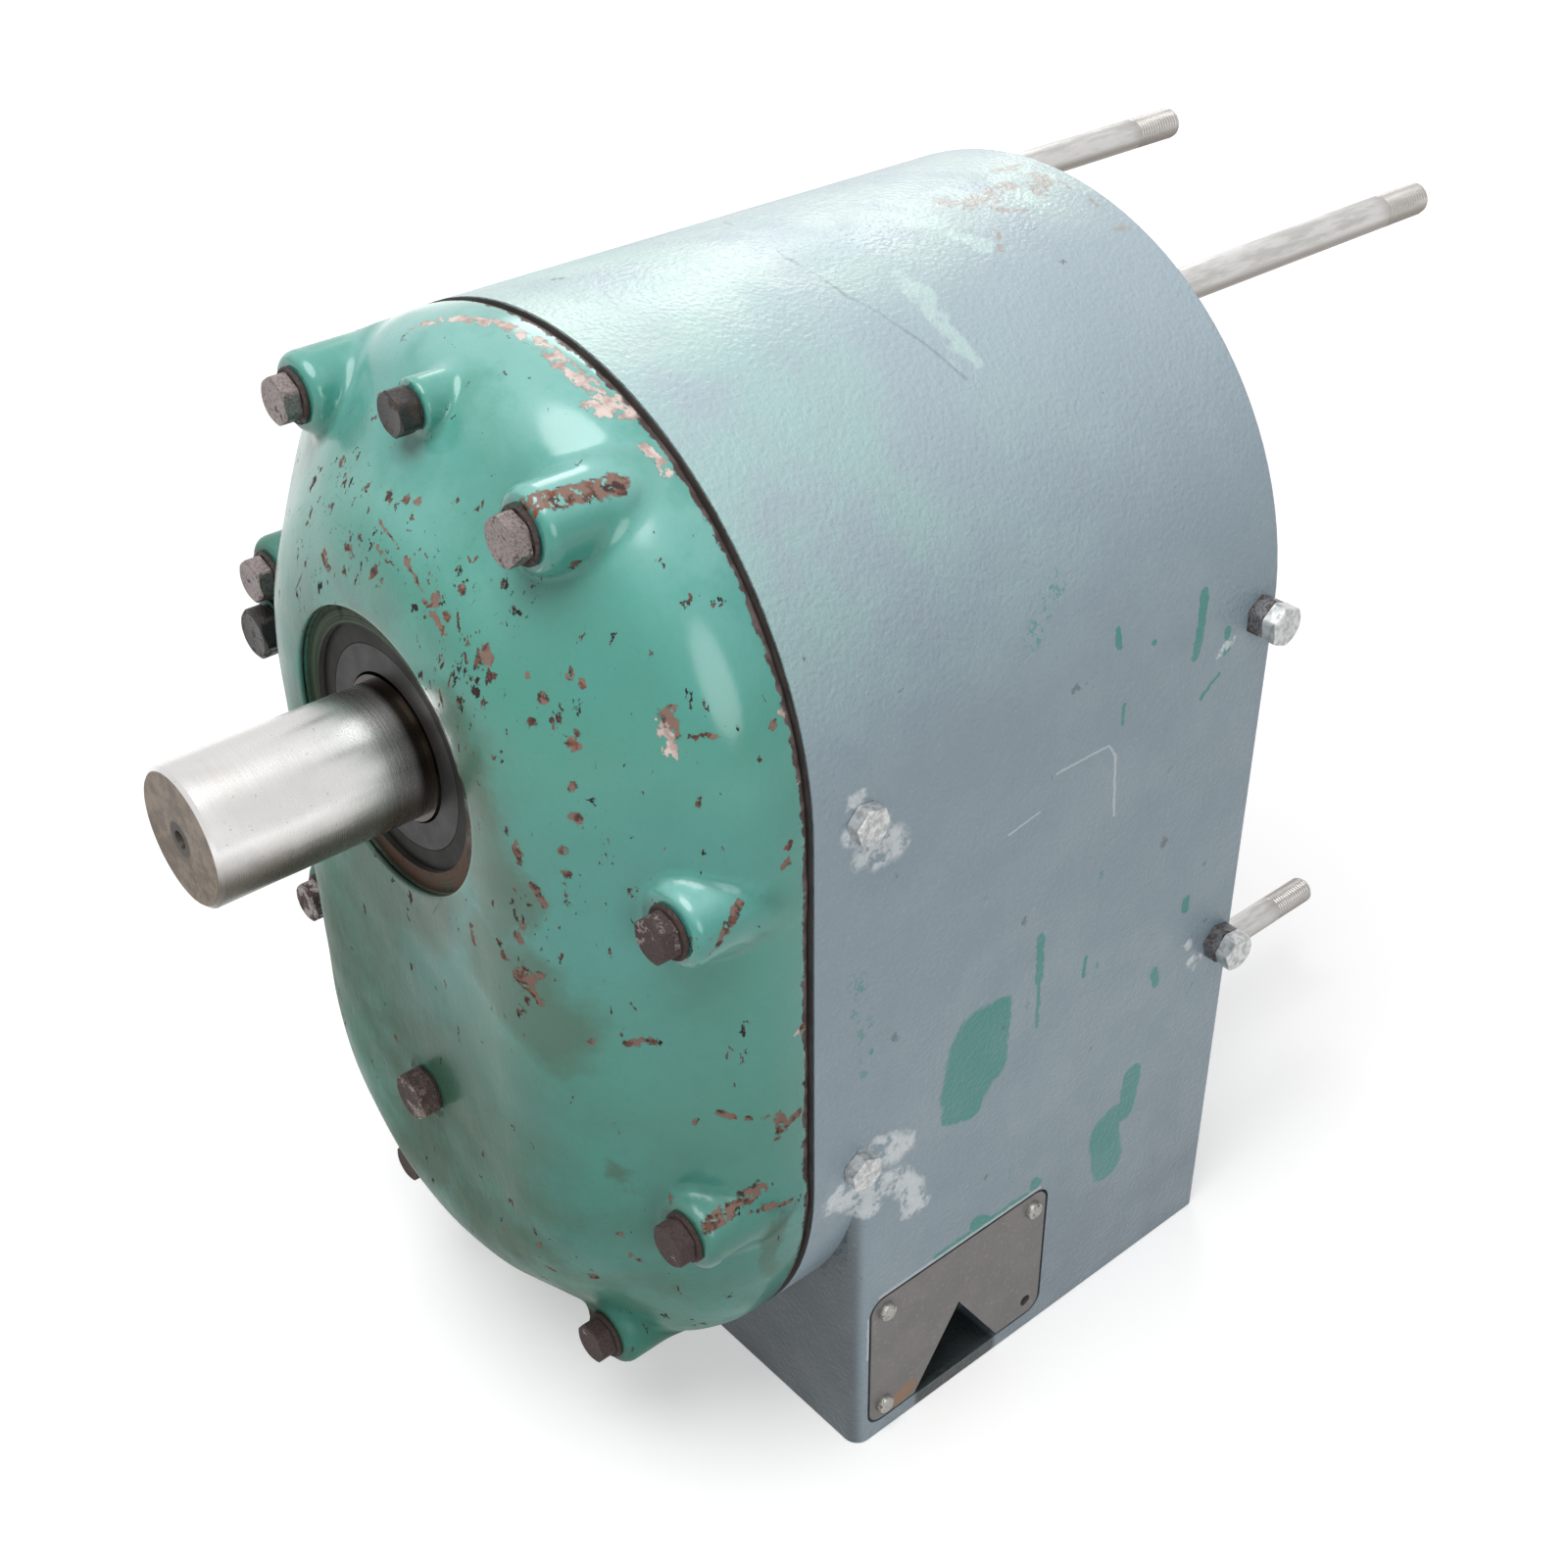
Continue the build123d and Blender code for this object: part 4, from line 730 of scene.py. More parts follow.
CASING_GREEN = [
    (165, -56, 227, 165, -60, 203, 18), (165, -43, 236, 165, -44, 203, 8.5),
    (165, -69, 191, 165, -58, 187, 8), (165, 60, 136, 165, 58, 117, 6.5), (165, 42, 108, 165, 47, 82, 11),
    (165, 47, 116, 165, 57, 112, 6), (165, -18, 266, 165, -17, 240, 2.4), (165, -17, 240, 165, -16, 212, 1.4),
    (163, 75, 408, 165, 71, 378, 2.8), (165, 92, 383, 165, 93, 372, 2), (163, 19, 410, 163, 19, 402, 1.8),
    (164, 42, 396, 2.1), (165, 25, 371, 165, 25, 362, 1.1), (165, 78, 353, 165, 90, 361, 1.1),
    (165, 87, 234, 165, 87, 228, 2.6), (165, 68, 199, 165, 70, 190, 2.6), (165, 15, 236, 165, 14, 226, 1.3),
    (165, -76, 100, 165, -14, 100, 1.9), (165, -49, 105, 165, -44, 101, 4.5), (165, -8, 104, 4.2),
    (165, 98, 250, 1.4), (165, -122, 258, 1.7)]
CASING_SPECKLED = [
    (165, -54, 304, 4), (154, -14, 442, 160, -31, 424, 5), (165, 0, 391, 5), (165, 20, 300, 165, 24, 220, 2),
    (165, -125, 250, 165, -130, 300, 5), (165, -25, 125, 5), (165, 98, 170, 6)]
CASING_PALE = [
    (165, -113, 98.6, 165, -4, 98.6, 0.9), (165, -120, 88, 165, -120, 60, 0.7),
    (165, -16, 354, 165, 17, 354, 0.6), (165, 17, 354, 165, 22, 347, 0.6), (165, 22, 347, 165, 25, 313, 0.8),
    (165, -44, 335, 165, -25, 338, 0.5), (165, -95, 150, 165, -99, 143, 2.2)]
SILVER_ROUGH = [
    (165, -140, 182, 165, -122, 166, 8), (165, -115, 196, 165, -102, 190, 8),
    (165, -101, 168, 165, -90, 146, 7), (165, -116, 176, 165, -108, 172, 7), (165, -128, 198, 6),
    (165, -131, 393, 4), (165, -125, 366, 165, -113, 363, 9), (165, -131, 378, 165, -120, 372, 7),
    (165, 93, 204, 3.2), (165, 97, 191, 3.6), (165, 102, 186, 3.4), (165, 95, 375, 165, 88, 372, 3)]
TOP_WORN = [
    (16, 90, 547, 22, 62, 546, 5), (22, 62, 546, 12, 54, 547, 3.5), (28, 100, 545, 17, 111, 546.6, 5),
    (42, 55, 542, 55, 51, 538, 2.2), (-2, 100, 547.5, 3, 112, 547.4, 3), (30, 72, 545, 36, 80, 543.5, 3),
    (25, 116, 545.5, 48, 117, 540, 1.6), (62, 112, 534, 66, 118, 532, 1.6)]
TOP_PALE = [
    (41, -6, 542, 57, -4, 537.5, 5), (57, -4, 537.5, 77, -9, 528.3, 6), (77, -9, 528.3, 95, -11, 517.3, 6),
    (0, 30, 547.5, 22, 35, 546, 9), (20, 70, 546.5, 5, 60, 547.3, 7), (10, 95, 547, 30, 90, 545, 6),
    (38, 38, 543, 49, 44, 540, 5), (0, 110, 547.5, 20, 114, 546.2, 4)]
LAP_LINE = [
    (-60, -10, 534, -37, -27, 543.3, 0.9), (-37, -27, 543.3, 17, -40, 546.6, 0.9),
    (17, -40, 546.6, 50, -37, 539.7, 0.9), (50, -37, 539.7, 78, -25, 528, 0.9),
    (78, -25, 528, 100, -16, 513.8, 0.9)]
PLATE_SMUDGE = [(165, -100, 16, 165, -91, 19, 4.5)]


def strokes(g, moved, marks, softness=0.15):
    """Joined mask of worn strokes."""
    mask = 0.0
    for *ends, width in marks:
        start = Vector(ends[:3]) / 1000
        run = Vector(ends[-3:]) / 1000 - start
        mask = g.use(worn_stroke, Position=moved, Start=start, Run=run, Width=width / 1000,
                     Softness=softness, Before=mask)["Mask"]
    return mask


# ---------------------------------------------------------------- finishes
def cover_enamel(paint):
    """Glossy green enamel over the cover casting, chipped and grimy, with a painted sheen where it faces up
    and painted shade in its creases.
    """
    made, g, shader, position = material("Cover enamel")
    x, y, z = g.split(position)
    lift = g.minus(z, UPPER)
    from_hub = g.size(g.join(x, 0.0, lift))
    ragged = g.wobble(position, 0.0085, 190.0)
    body = g.mix(g.times(g.patches(position, 11.0, 0.35, 0.65), 0.8), paint.enamel, paint.enamel_blue)
    # painted sheen: the enamel is paler in patches where it faces up
    body = g.tint(body, (0.26, 0.50, 0.47), g.fit(g.facing()[2], 0.30, 0.90),
                  g.patches(position, 30.0, 0.32, 0.60, 0.3), 0.55)
    # duller and browner towards the lower left, and in a cloudy band down the middle
    low = g.fit(g.plus(z, g.times(x, 0.9)), 0.50, 0.16)
    cloudy = g.patches(position, 13.0, 0.34, 0.62, detail=5.0, roughness=0.62)
    dull = g.times(low, g.plus(g.times(cloudy, 0.55), 0.36))
    dull = g.most(dull, g.times(strokes(g, g.wobble(position, 0.05, 30.0), COVER_OLIVE, 0.5), 0.7))
    body = g.mix(dull, body, paint.enamel_dull)
    # oil round the hub; painted shade, broken by patches of grime, in the creases
    oily = g.patches(position, 38.0, 0.36, 0.62, detail=5.0, roughness=0.55)
    body = g.tint(body, (0.060, 0.085, 0.055), g.fit(from_hub, 0.105, 0.066), oily, 0.42)
    crease = g.node("ShaderNodeAttribute", attribute_name="crease").outputs["Fac"]
    crease_shade_and_grime = g.times(crease, g.patches(position, 60.0, 0.35, 0.62))
    body = g.tint(body, (0.035, 0.040, 0.028), crease_shade_and_grime, 0.62)
    # chips: thin everywhere, thick round the hub's upper and right side
    beside = g.fit(g.plus(x, g.times(lift, 0.5)), -0.060, 0.010)
    scuffed = g.times(g.fit(from_hub, 0.150, 0.088), beside,
                      g.patches(position, 26.0, 0.40, 0.60, detail=3.0, roughness=0.55))
    share = g.plus(g.times(scuffed, 0.55), 0.022)
    chips = g.use(paint_chips, Position=position, Amount=share, Cells=150.0, Stretch=(1, 1, 0.75))
    flecks = g.use(paint_chips, Position=g.vector("ADD", position, (0.3, 0.1, 0.2)),
                   Amount=g.plus(g.times(share, 1.9), 0.02), Cells=290.0, Stretch=(1, 1, 0.45))
    knocked = g.most(chips["Mask"], flecks["Mask"])
    marks = g.use(scratches, Position=position, Direction=(0, 0.95, 0), Across=300.0, Along=17.0,
                  Amount=0.36)["Mask"]
    marks = g.times(marks, g.times(g.fit(z, 0.24, 0.40), g.fit(from_hub, 0.16, 0.10)))
    worn = g.times(strokes(g, ragged, COVER_RUST),
                   g.patches(position, 330.0, 0.36, 0.43, detail=3.0, roughness=0.55))
    worn_edge = g.fit(g.split(ragged)[1], COVER_BACK - 0.0046, COVER_BACK - 0.0036)
    primer = g.times(strokes(g, ragged, COVER_PRIMER), g.patches(position, 210.0, 0.42, 0.47, roughness=0.55))
    chipped = g.most(knocked, g.times(marks, 0.8), worn, worn_edge, primer)
    body = g.tint(body, g.scaled(tuple(paint.enamel)[:3], 0.42), g.most(chips["Rim"], flecks["Rim"]), 0.5)
    # what shows in the chips
    rust = g.mix(g.patches(position, 240.0, 0.42, 0.62), paint.rust, paint.rust_light)
    rust = g.tint(rust, (0.26, 0.085, 0.04),
                  g.patches(position, 75.0, 0.60, 0.66, detail=2.0, roughness=0.55), 0.5)
    dark_chip = g.math("LESS_THAN", g.most(chips["Shade"], g.times(worn, 0.5)), 0.30)
    rust = g.tint(rust, (0.014, 0.014, 0.014), dark_chip, 0.85)
    rust = g.tint(rust, (0.21, 0.135, 0.110), worn,
                  g.patches(position, 170.0, 0.44, 0.54, detail=3.0, roughness=0.55))
    rust = g.mix(worn_edge, rust, g.mix(g.patches(position, 120.0, 0.42, 0.60, roughness=0.55),
                                        (0.070, 0.050, 0.047), (0.135, 0.100, 0.095)))
    rust = g.mix(primer, rust, g.mix(g.patches(position, 150.0, 0.38, 0.62, roughness=0.55),
                                     (0.36, 0.27, 0.24), paint.primer))
    body = g.mix(chipped, body, rust)
    # hub: dull turned ring, brown low on the right, then the greasy bore
    scored = g.noise(g.join(g.times(from_hub, 900.0), g.times(x, 9.0), g.times(z, 9.0)), 1.0, 2.0, 0.6)
    ring = g.mix(g.fit(scored, 0.42, 0.60), (0.028, 0.036, 0.022), (0.060, 0.090, 0.060))
    ring = g.tint(ring, (0.095, 0.055, 0.038), g.fit(g.minus(g.times(x, 0.6), lift), 0.030, 0.052),
                  g.patches(position, 45.0, 0.28, 0.50))
    rubbed = g.times(g.fit(x, 0.020, 0.045), g.fit(lift, -0.03, 0.012))
    ring = g.tint(ring, (0.20, 0.27, 0.24), rubbed, g.patches(position, 70.0, 0.4, 0.6, roughness=0.55))
    greasy = g.fit(g.plus(from_hub, g.times(g.noise(position, 60.0), 0.008)), 0.0585, 0.0545)
    ring = g.mix(greasy, ring, paint.grease)
    in_front = g.fit(y, COVER_FACE + 0.012, COVER_FACE + 0.004)
    hub = g.times(g.fit(from_hub, HUB_BORE + 0.0002, HUB_BORE - 0.0004), g.most(in_front, greasy))
    gloss = g.plus(g.patches(position, 24.0, 0.3, 0.7, 0.20, 0.34), g.times(dull, 0.16))
    rough = g.most(g.plus(gloss, g.times(g.most(chipped, crease_shade_and_grime), 0.45)), g.times(hub, 0.46))
    glossy = g.minus(0.95, g.times(low, 0.88))
    glossy = g.minus(glossy, g.times(g.most(chipped, hub, crease_shade_and_grime), 0.8), clamp=True)
    cast = g.use(cast_surface, Position=position, Peel=0.25, Waves=0.6, Brush=(1, 1, 0.3))
    coat(g, shader, g.minus(cast["Height"], g.times(knocked, 1.2)), 0.50, 0.0011,
         Base_Color=g.mix(hub, body, ring), Roughness=rough, Coat_Weight=glossy, Coat_Roughness=0.17,
         Specular_IOR_Level=0.05)
    return made


def casing_paint(paint):
    """Satin grey-blue paint over cast iron, thin and patchy, with older green under it."""
    made, g, shader, position = material("Casing paint")
    x, y, z = g.split(position)
    cloud = g.noise(position, 16.0, 5.0, 0.62)
    body = g.mix(g.times(g.fit(cloud, 0.42, 0.62), 0.12), paint.grey, paint.grey_pale)
    # greener on top, with a painted highlight making the top paler; painted shadow on the low front faces
    # under the cover
    top = g.times(g.fit(z, 0.40, 0.53), g.fit(y, 0.06, SEAM + 0.02))
    body = g.tint(body, paint.turquoise, top, g.patches(position, 16.0, 0.36, 0.60, roughness=0.55))
    # painted highlight: paler towards the top
    body = g.tint(body, paint.grey_pale, g.fit(z, 0.40, 0.54), 0.50)
    # painted shadow under the cover's overhang on the low front faces
    overhang_shadow = g.times(g.fit(g.facing()[1], -0.30, -0.95), g.fit(z, 0.22, 0.12))
    body = g.tint(body, (0.050, 0.060, 0.066), overhang_shadow, 0.85)
    # painted highlight along the crest of the top
    body = g.tint(body, (0.50, 0.63, 0.55), g.fit(z, 0.532, 0.5465),
                  g.patches(position, 24.0, 0.30, 0.62, 0.05, 0.40))
    body = g.tint(body, paint.grey_pale, g.patches(position, 520.0, 0.60, 0.75, detail=3.0), 0.25)
    # painted shade: darker and bluer in patches towards the floor
    body = g.tint(body, (0.135, 0.165, 0.190), g.fit(z, 0.16, 0.0),
                  g.patches(position, 21.0, 0.35, 0.7, 0.1, 0.5, 5.0, 0.55))
    # rubbed thin and bare along the top, and the lap in the paint
    torn = g.wobble(position, 0.016, 90.0)
    thin = g.times(strokes(g, torn, TOP_PALE, 0.25), g.patches(position, 55.0, 0.36, 0.50, roughness=0.55))
    body = g.tint(body, (0.52, 0.68, 0.63), thin, 0.42)
    bared = g.times(strokes(g, torn, TOP_WORN), g.patches(position, 150.0, 0.40, 0.47, roughness=0.55))
    body = g.tint(body, (0.34, 0.31, 0.285), bared, 0.80)
    lap = strokes(g, g.wobble(position, 0.003, 60.0), LAP_LINE, 0.6)
    body = g.tint(body, (0.16, 0.21, 0.22), lap, 0.50)
    # painted shade: near black inside the chamber behind the terminal plate and on the sill under its notch
    from_notch = g.math("ABSOLUTE", g.plus(y, 0.0585))
    chamber_shade = g.times(g.fit(from_notch, 0.0565, 0.0550),
                     g.fit(g.math("ABSOLUTE", g.minus(z, 0.052)), 0.042, 0.040))
    sill = g.times(g.fit(from_notch, 0.030, 0.026), g.fit(z, 0.0125, 0.0115))
    chamber_shade = g.times(g.most(chamber_shade, sill), g.fit(x, 0.02, 0.04))
    body = g.tint(body, (0.014, 0.018, 0.016), chamber_shade, g.fit(cloud, 0.3, 0.7, 0.97, 0.86))
    # patches and speckles of the old green, pale lines, silver daubs round the side bolts
    green = strokes(g, g.wobble(position, 0.005, 170.0), CASING_GREEN, 0.10)
    speckled = g.times(strokes(g, g.wobble(position, 0.02, 60.0), CASING_SPECKLED, 0.6),
                       g.patches(position, 300.0, 0.54, 0.60))
    body = g.tint(body, paint.patch_green, g.most(green, g.times(speckled, 0.7)), 0.94)
    pale = strokes(g, g.wobble(position, 0.0016, 220.0), CASING_PALE, 0.4)
    body = g.tint(body, (0.52, 0.57, 0.60), pale, 0.7)
    daub = g.times(strokes(g, g.wobble(position, 0.014, 110.0), SILVER_ROUGH, 0.3),
                   g.patches(position, 130.0, 0.38, 0.52, detail=5.0, roughness=0.65))
    body = g.tint(body, (0.62, 0.66, 0.68), daub, 0.85)
    specks = g.use(paint_chips, Position=position, Amount=0.012, Cells=140.0, Stretch=EVEN)["Mask"]
    body = g.tint(body, (0.075, 0.080, 0.080), specks, 0.6)
    rough = g.minus(g.patches(position, 30.0, 0.3, 0.7, 0.30, 0.46), g.times(daub, 0.16))
    cast = g.use(cast_surface, Position=position, Peel=1.0, Waves=0.5, Brush=(1, 1, 1.6))
    coat(g, shader, cast["Height"], 0.60, 0.0011, Base_Color=body, Roughness=rough)
    return made


def worn_steel(name, steel, rust, amount, grain=190.0, low_amount=None, metallic=0.75):
    """Steel fastener finish; the rust may grow towards the lower right."""
    made, g, shader, position = material(name)
    if low_amount is not None:
        x, _, z = g.split(position)
        amount = g.fit(g.minus(g.times(x, 0.7), z), -0.42, -0.18, amount, low_amount)
    worn = g.use(rusting, Position=position, Steel=steel, Rust=rust, Amount=amount, Grain=grain)
    coat(g, shader, worn["Height"], 0.35, 0.0005, Base_Color=worn["Colour"], Roughness=worn["Roughness"],
         Metallic=g.times(worn["Bare"], metallic))
    return made


def rod_steel():
    """Pale drawn bar of the rear rods, browner underneath."""
    made, g, shader, position = material("Rod steel")
    along = g.noise(g.vector("MULTIPLY", position, (1, 0.16, 1)), 240.0, 3.0, 0.6)
    body = g.mix(g.fit(along, 0.38, 0.62), (0.50, 0.49, 0.47), (0.64, 0.63, 0.62))
    under = g.minus(g.times(along, 0.5), g.facing()[2])
    body = g.tint(body, (0.16, 0.12, 0.085), g.fit(under, 0.05, 0.75), 0.75)
    free_end = g.fit(g.split(position)[1], REAR + 0.150, REAR + 0.160)
    body = g.tint(body, (0.30, 0.27, 0.25), free_end, 0.45)
    coat(g, shader, along, 0.05, 0.0003, Base_Color=body, Roughness=g.fit(along, 0.3, 0.7, 0.30, 0.40),
         Metallic=0.6)
    return made


def turned_steel(paint):
    """Bright turned steel of the shaft, stained, with painted brown shade and oil underneath, painted shade
    in its centre hole and behind the cover's face, and mottled on its end.
    """
    made, g, shader, position = material("Turned steel")
    x, y, z = g.split(position)
    turning = g.use(turning_marks, Position=position, Pitch=2400.0)
    body = g.tint(paint.steel, (0.42, 0.38, 0.33), g.fit(turning["Stain"], 0.52, 0.70), 0.16)
    # painted shade with oil: the lower side of the shaft darkened brown, its edge broken by the stains
    under = g.fit(g.minus(g.minus(UPPER, z), g.times(turning["Stain"], 0.012)), -0.015, 0.005)
    body = g.tint(body, (0.080, 0.062, 0.042), under, 0.94)
    body = g.tint(body, (0.16, 0.11, 0.08), turning["Specks"], 0.35)
    end = g.fit(y, SHAFT_TIP + 0.0006, SHAFT_TIP + 0.0002)
    mottled = g.mix(g.patches(position, 130.0, 0.38, 0.62, detail=5.0, roughness=0.65),
                    (0.095, 0.065, 0.042), (0.200, 0.155, 0.110))
    body = g.tint(body, mottled, end, 0.95)
    from_axis = g.size(g.join(x, 0.0, g.minus(z, UPPER)))
    # painted shade inside the centre hole at the shaft's end
    hole = g.times(g.fit(from_axis, 0.0085, 0.0070), g.fit(y, SHAFT_TIP + 0.030, SHAFT_TIP + 0.025))
    body = g.mix(hole, body, (0.030, 0.022, 0.015))
    end = g.most(end, hole)
    # painted shade on the shaft where it goes in behind the cover's face
    body = g.mix(g.fit(y, COVER_FACE - 0.003, COVER_FACE + 0.002), body, (0.05, 0.04, 0.032))
    dulled = g.most(g.times(end, 0.7), g.times(under, 0.45))
    coat(g, shader, turning["Rings"], 0.02, 0.0002, Base_Color=body, Metallic=g.minus(1.0, dulled),
         Roughness=g.plus(g.fit(turning["Rings"], 0.3, 0.7, 0.24, 0.29), g.times(end, 0.26)))
    return made


def plain_finish(name, tint, rough, metal=0.0, grain=80.0, spread=0.25, gloss=0.3):
    """Even finish with a little mottling, for the pieces inside."""
    made, g, shader, position = material(name)
    spots = g.noise(position, grain, 4.0, 0.6)
    dark = tuple(channel * (1 - spread) for channel in tint)
    coat(g, shader, spots, 0.15, 0.0004, Base_Color=g.mix(g.fit(spots, 0.35, 0.65), dark, tint),
         Roughness=g.fit(spots, 0.3, 0.7, rough - 0.06, rough + 0.06), Metallic=metal,
         Specular_IOR_Level=gloss)
    return made


def plate_steel(paint):
    """Bare sheet of the terminal plate with a smudge of rust."""
    made, g, shader, position = material("Plate steel")
    bare = tuple(paint.plate)[:3]
    clouds = g.noise(position, 36.0, 5.0, 0.62)
    body = g.mix(g.fit(clouds, 0.35, 0.66), g.scaled(bare, 0.88), g.scaled(bare, 1.15))
    fine = g.noise(position, 420.0, 3.0, 0.6)
    body = g.tint(body, (0.26, 0.26, 0.255), g.fit(fine, 0.55, 0.72), 0.5)
    marks = g.use(scratches, Position=position, Direction=(0.6, 0, 0.4), Across=500.0, Along=30.0,
                  Amount=0.5)["Mask"]
    body = g.tint(body, (0.33, 0.33, 0.32), marks, 0.5)
    smudge = strokes(g, g.wobble(position, 0.012, 90.0), PLATE_SMUDGE, 0.4)
    body = g.tint(body, (0.30, 0.15, 0.065), smudge, 0.75)
    coat(g, shader, fine, 0.2, 0.0004, Base_Color=body, Roughness=g.fit(clouds, 0.3, 0.7, 0.40, 0.55),
         Metallic=0.35)
    return made


# ---------------------------------------------------------------- operators
class MOTOR_OT_stage(bpy.types.Operator):
    """Sets the pale floor, the soft lights and the camera"""
    bl_idname = "motor.stage"
    bl_label = "Stage"

    def execute(self, context):
        stage = context.scene.motor_stage
        scene = context.scene
        scene.view_settings.view_transform = "Standard"
        floor_data = bpy.data.meshes.new("Floor")
        floor_data.from_pydata([(-9, -9, 0), (9, -9, 0), (9, 9, 0), (-9, 9, 0)], [], [(0, 1, 2, 3)])
        floor = bpy.data.objects.new("Floor", floor_data)
        floor.location.z = -0.0004
        pale, graph, shader, position = material("Pale floor")
        shader.inputs["Base Color"].default_value = stage.floor
        shader.inputs["Roughness"].default_value = 0.9
        shader.inputs["Specular IOR Level"].default_value = 0.1
        shader.inputs["Emission Color"].default_value = (1, 1, 1, 1)
        glow = graph.fit(graph.size(position), 0.75, 2.2, stage.floor_glow, 1.0)
        graph.put(shader.inputs["Emission Strength"], graph.times(graph.seen(), glow))
        floor_data.materials.append(pale)
        scene.collection.objects.link(floor)
        scene.world = bpy.data.worlds.new("Soft studio")
        scene.world.use_nodes = True
        graph = Graph(scene.world.node_tree)
        backdrop = graph.tree.nodes["Background"]
        backdrop.inputs["Color"].default_value = (1, 1, 1, 1)
        strength = graph.fit(graph.seen(), 0.0, 1.0, stage.sky, 1.0, smooth=False)
        graph.put(backdrop.inputs["Strength"], strength)
        for name, power, size, spot in (("Key light", stage.key_power, 1.4, (0.15, -0.65, 1.95)),
                                        ("Fill light", stage.fill_power, 1.2, (2.1, -0.75, 1.1)),
                                        ("Back light", stage.back_power, 1.0, (-1.3, 1.15, 1.5))):
            data = bpy.data.lights.new(name, "AREA")
            data.shape, data.size, data.energy = "DISK", size, power
            lamp = bpy.data.objects.new(name, data)
            lamp.location = spot
            lamp.rotation_euler = (LAMP_AIM - lamp.location).to_track_quat("-Z", "Y").to_euler()
            scene.collection.objects.link(lamp)
        lens = bpy.data.cameras.new("Camera")
        lens.lens, lens.sensor_width = stage.lens, 36.0
        lens.shift_x, lens.shift_y = CAMERA_SHIFT
        lens.clip_start, lens.clip_end = 0.05, 60
        scene.camera = bpy.data.objects.new("Camera", lens)
        scene.camera.location = CAMERA_AT
        scene.camera.rotation_euler = CAMERA_BACK.to_track_quat("Z", "Y").to_euler()
        scene.collection.objects.link(scene.camera)
        return {"FINISHED"}


class MOTOR_OT_cover(bpy.types.Operator):
    """Builds the gear case cover: dome, bosses, spot faces and hub ring in one casting"""
    bl_idname = "motor.cover"
    bl_label = "Gear Case Cover"

    def bored(self, mesh, skin):
        """The skin, cut off at the joint, with the hub's rounded bore edge turned in it."""
        mesh.from_mesh(skin)
        bmesh.ops.bisect_plane(mesh, geom=mesh.verts[:] + mesh.edges[:] + mesh.faces[:],
                               plane_co=(0, COVER_BACK - 0.0001, 0), plane_no=(0, 1, 0), clear_outer=True)
        near = [face for face in mesh.faces if from_hub(face.calc_center_median()) < HUB_CUT]
        bmesh.ops.delete(mesh, geom=near, context="FACES")
        border = [edge for edge in mesh.edges if edge.is_boundary and from_hub(edge.verts[0].co) < 0.08]
        for radius, drop in HUB_EDGE:
            if radius < HUB_EDGE[0][0]:
                grown = bmesh.ops.extrude_edge_only(mesh, edges=border)["geom"]
                border = [item for item in grown if isinstance(item, bmesh.types.BMEdge) and item.is_boundary]
            for vert in {vert for edge in border for vert in edge.verts}:
                out = Vector((vert.co.x, 0, vert.co.z - UPPER)).normalized()
                vert.co = Vector((0, COVER_FACE, UPPER)) + out * radius
                vert.co.y = COVER_FACE + drop

    def inside(self, shape):
        """The machined inside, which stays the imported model's own."""
        inner = bmesh.new()
        inner.from_mesh(frame["nodes"]["gear_case_cover"].data)
        centres = np.array([face.calc_center_median() for face in inner.faces])
        depth = shape.plain(centres)
        inner.verts.index_update()
        corners = shape.plain(np.array([vert.co for vert in inner.verts]))
        reach = np.hypot(centres[:, 0], centres[:, 2] - UPPER)
        for face, deep, out, y in zip(list(inner.faces), depth, reach, centres[:, 1]):
            shallow = min(corners[vert.index] for vert in face.verts) > -0.0012 and out > HUB_BORE + 0.0005
            if shallow or deep > -0.0003 or (abs(out - HUB_BORE) < 0.0004 and y < COVER_FACE + 0.0016):
                inner.faces.remove(face)
        for face in inner.faces:
            spot = face.calc_center_median()
            in_hub = spot.y < COVER_FACE + 0.004 and from_hub(spot) < HUB_BORE + 0.0005
            face.material_index = 0 if in_hub else 1
        return as_data("Cover inside", inner)

    def execute(self, context):
        bosses, seats = [], []
        for low, high in islands("tie_bolt_washers") + islands("cover_bolt_washers"):
            x, _, z = middle(low, high)
            bosses.append((x, z, BOSS_RADIUS, SEAM - high.y))
        for node in ("filler_plug_seal", "level_plug_seal", "bearing_plug_seal"):
            low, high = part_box(node)
            x, _, z = middle(low, high)
            seats.append((x, z, (high.x - low.x) / 2 + SEAT_MARGIN, SEAM - high.y))
        sizes = context.scene.motor_sizes
        shape = CoverShape(sizes, bosses, seats)
        mesh = bmesh.new()
        self.bored(mesh, skin_mesh(shape, sizes))
        mesh.from_mesh(self.inside(shape))
        loose = [vert for vert in mesh.verts if not vert.link_faces]
        bmesh.ops.delete(mesh, geom=loose, context="VERTS")
        data = as_data("Gear case cover", mesh)
        crease = np.clip(shape.plain(places(data)) / 0.0030, 0, 1)
        data.attributes.new("crease", "FLOAT", "POINT").data.foreach_set("value", crease)
        data.materials.append(cover_enamel(context.scene.motor_paint))
        data.materials.append(plain_finish("Cover inside", (0.10, 0.095, 0.09), 0.55, 0.4))
        fit_piece("Gear_case_cover_casting", data, "gear_case_cover", 38)
        return {"FINISHED"}


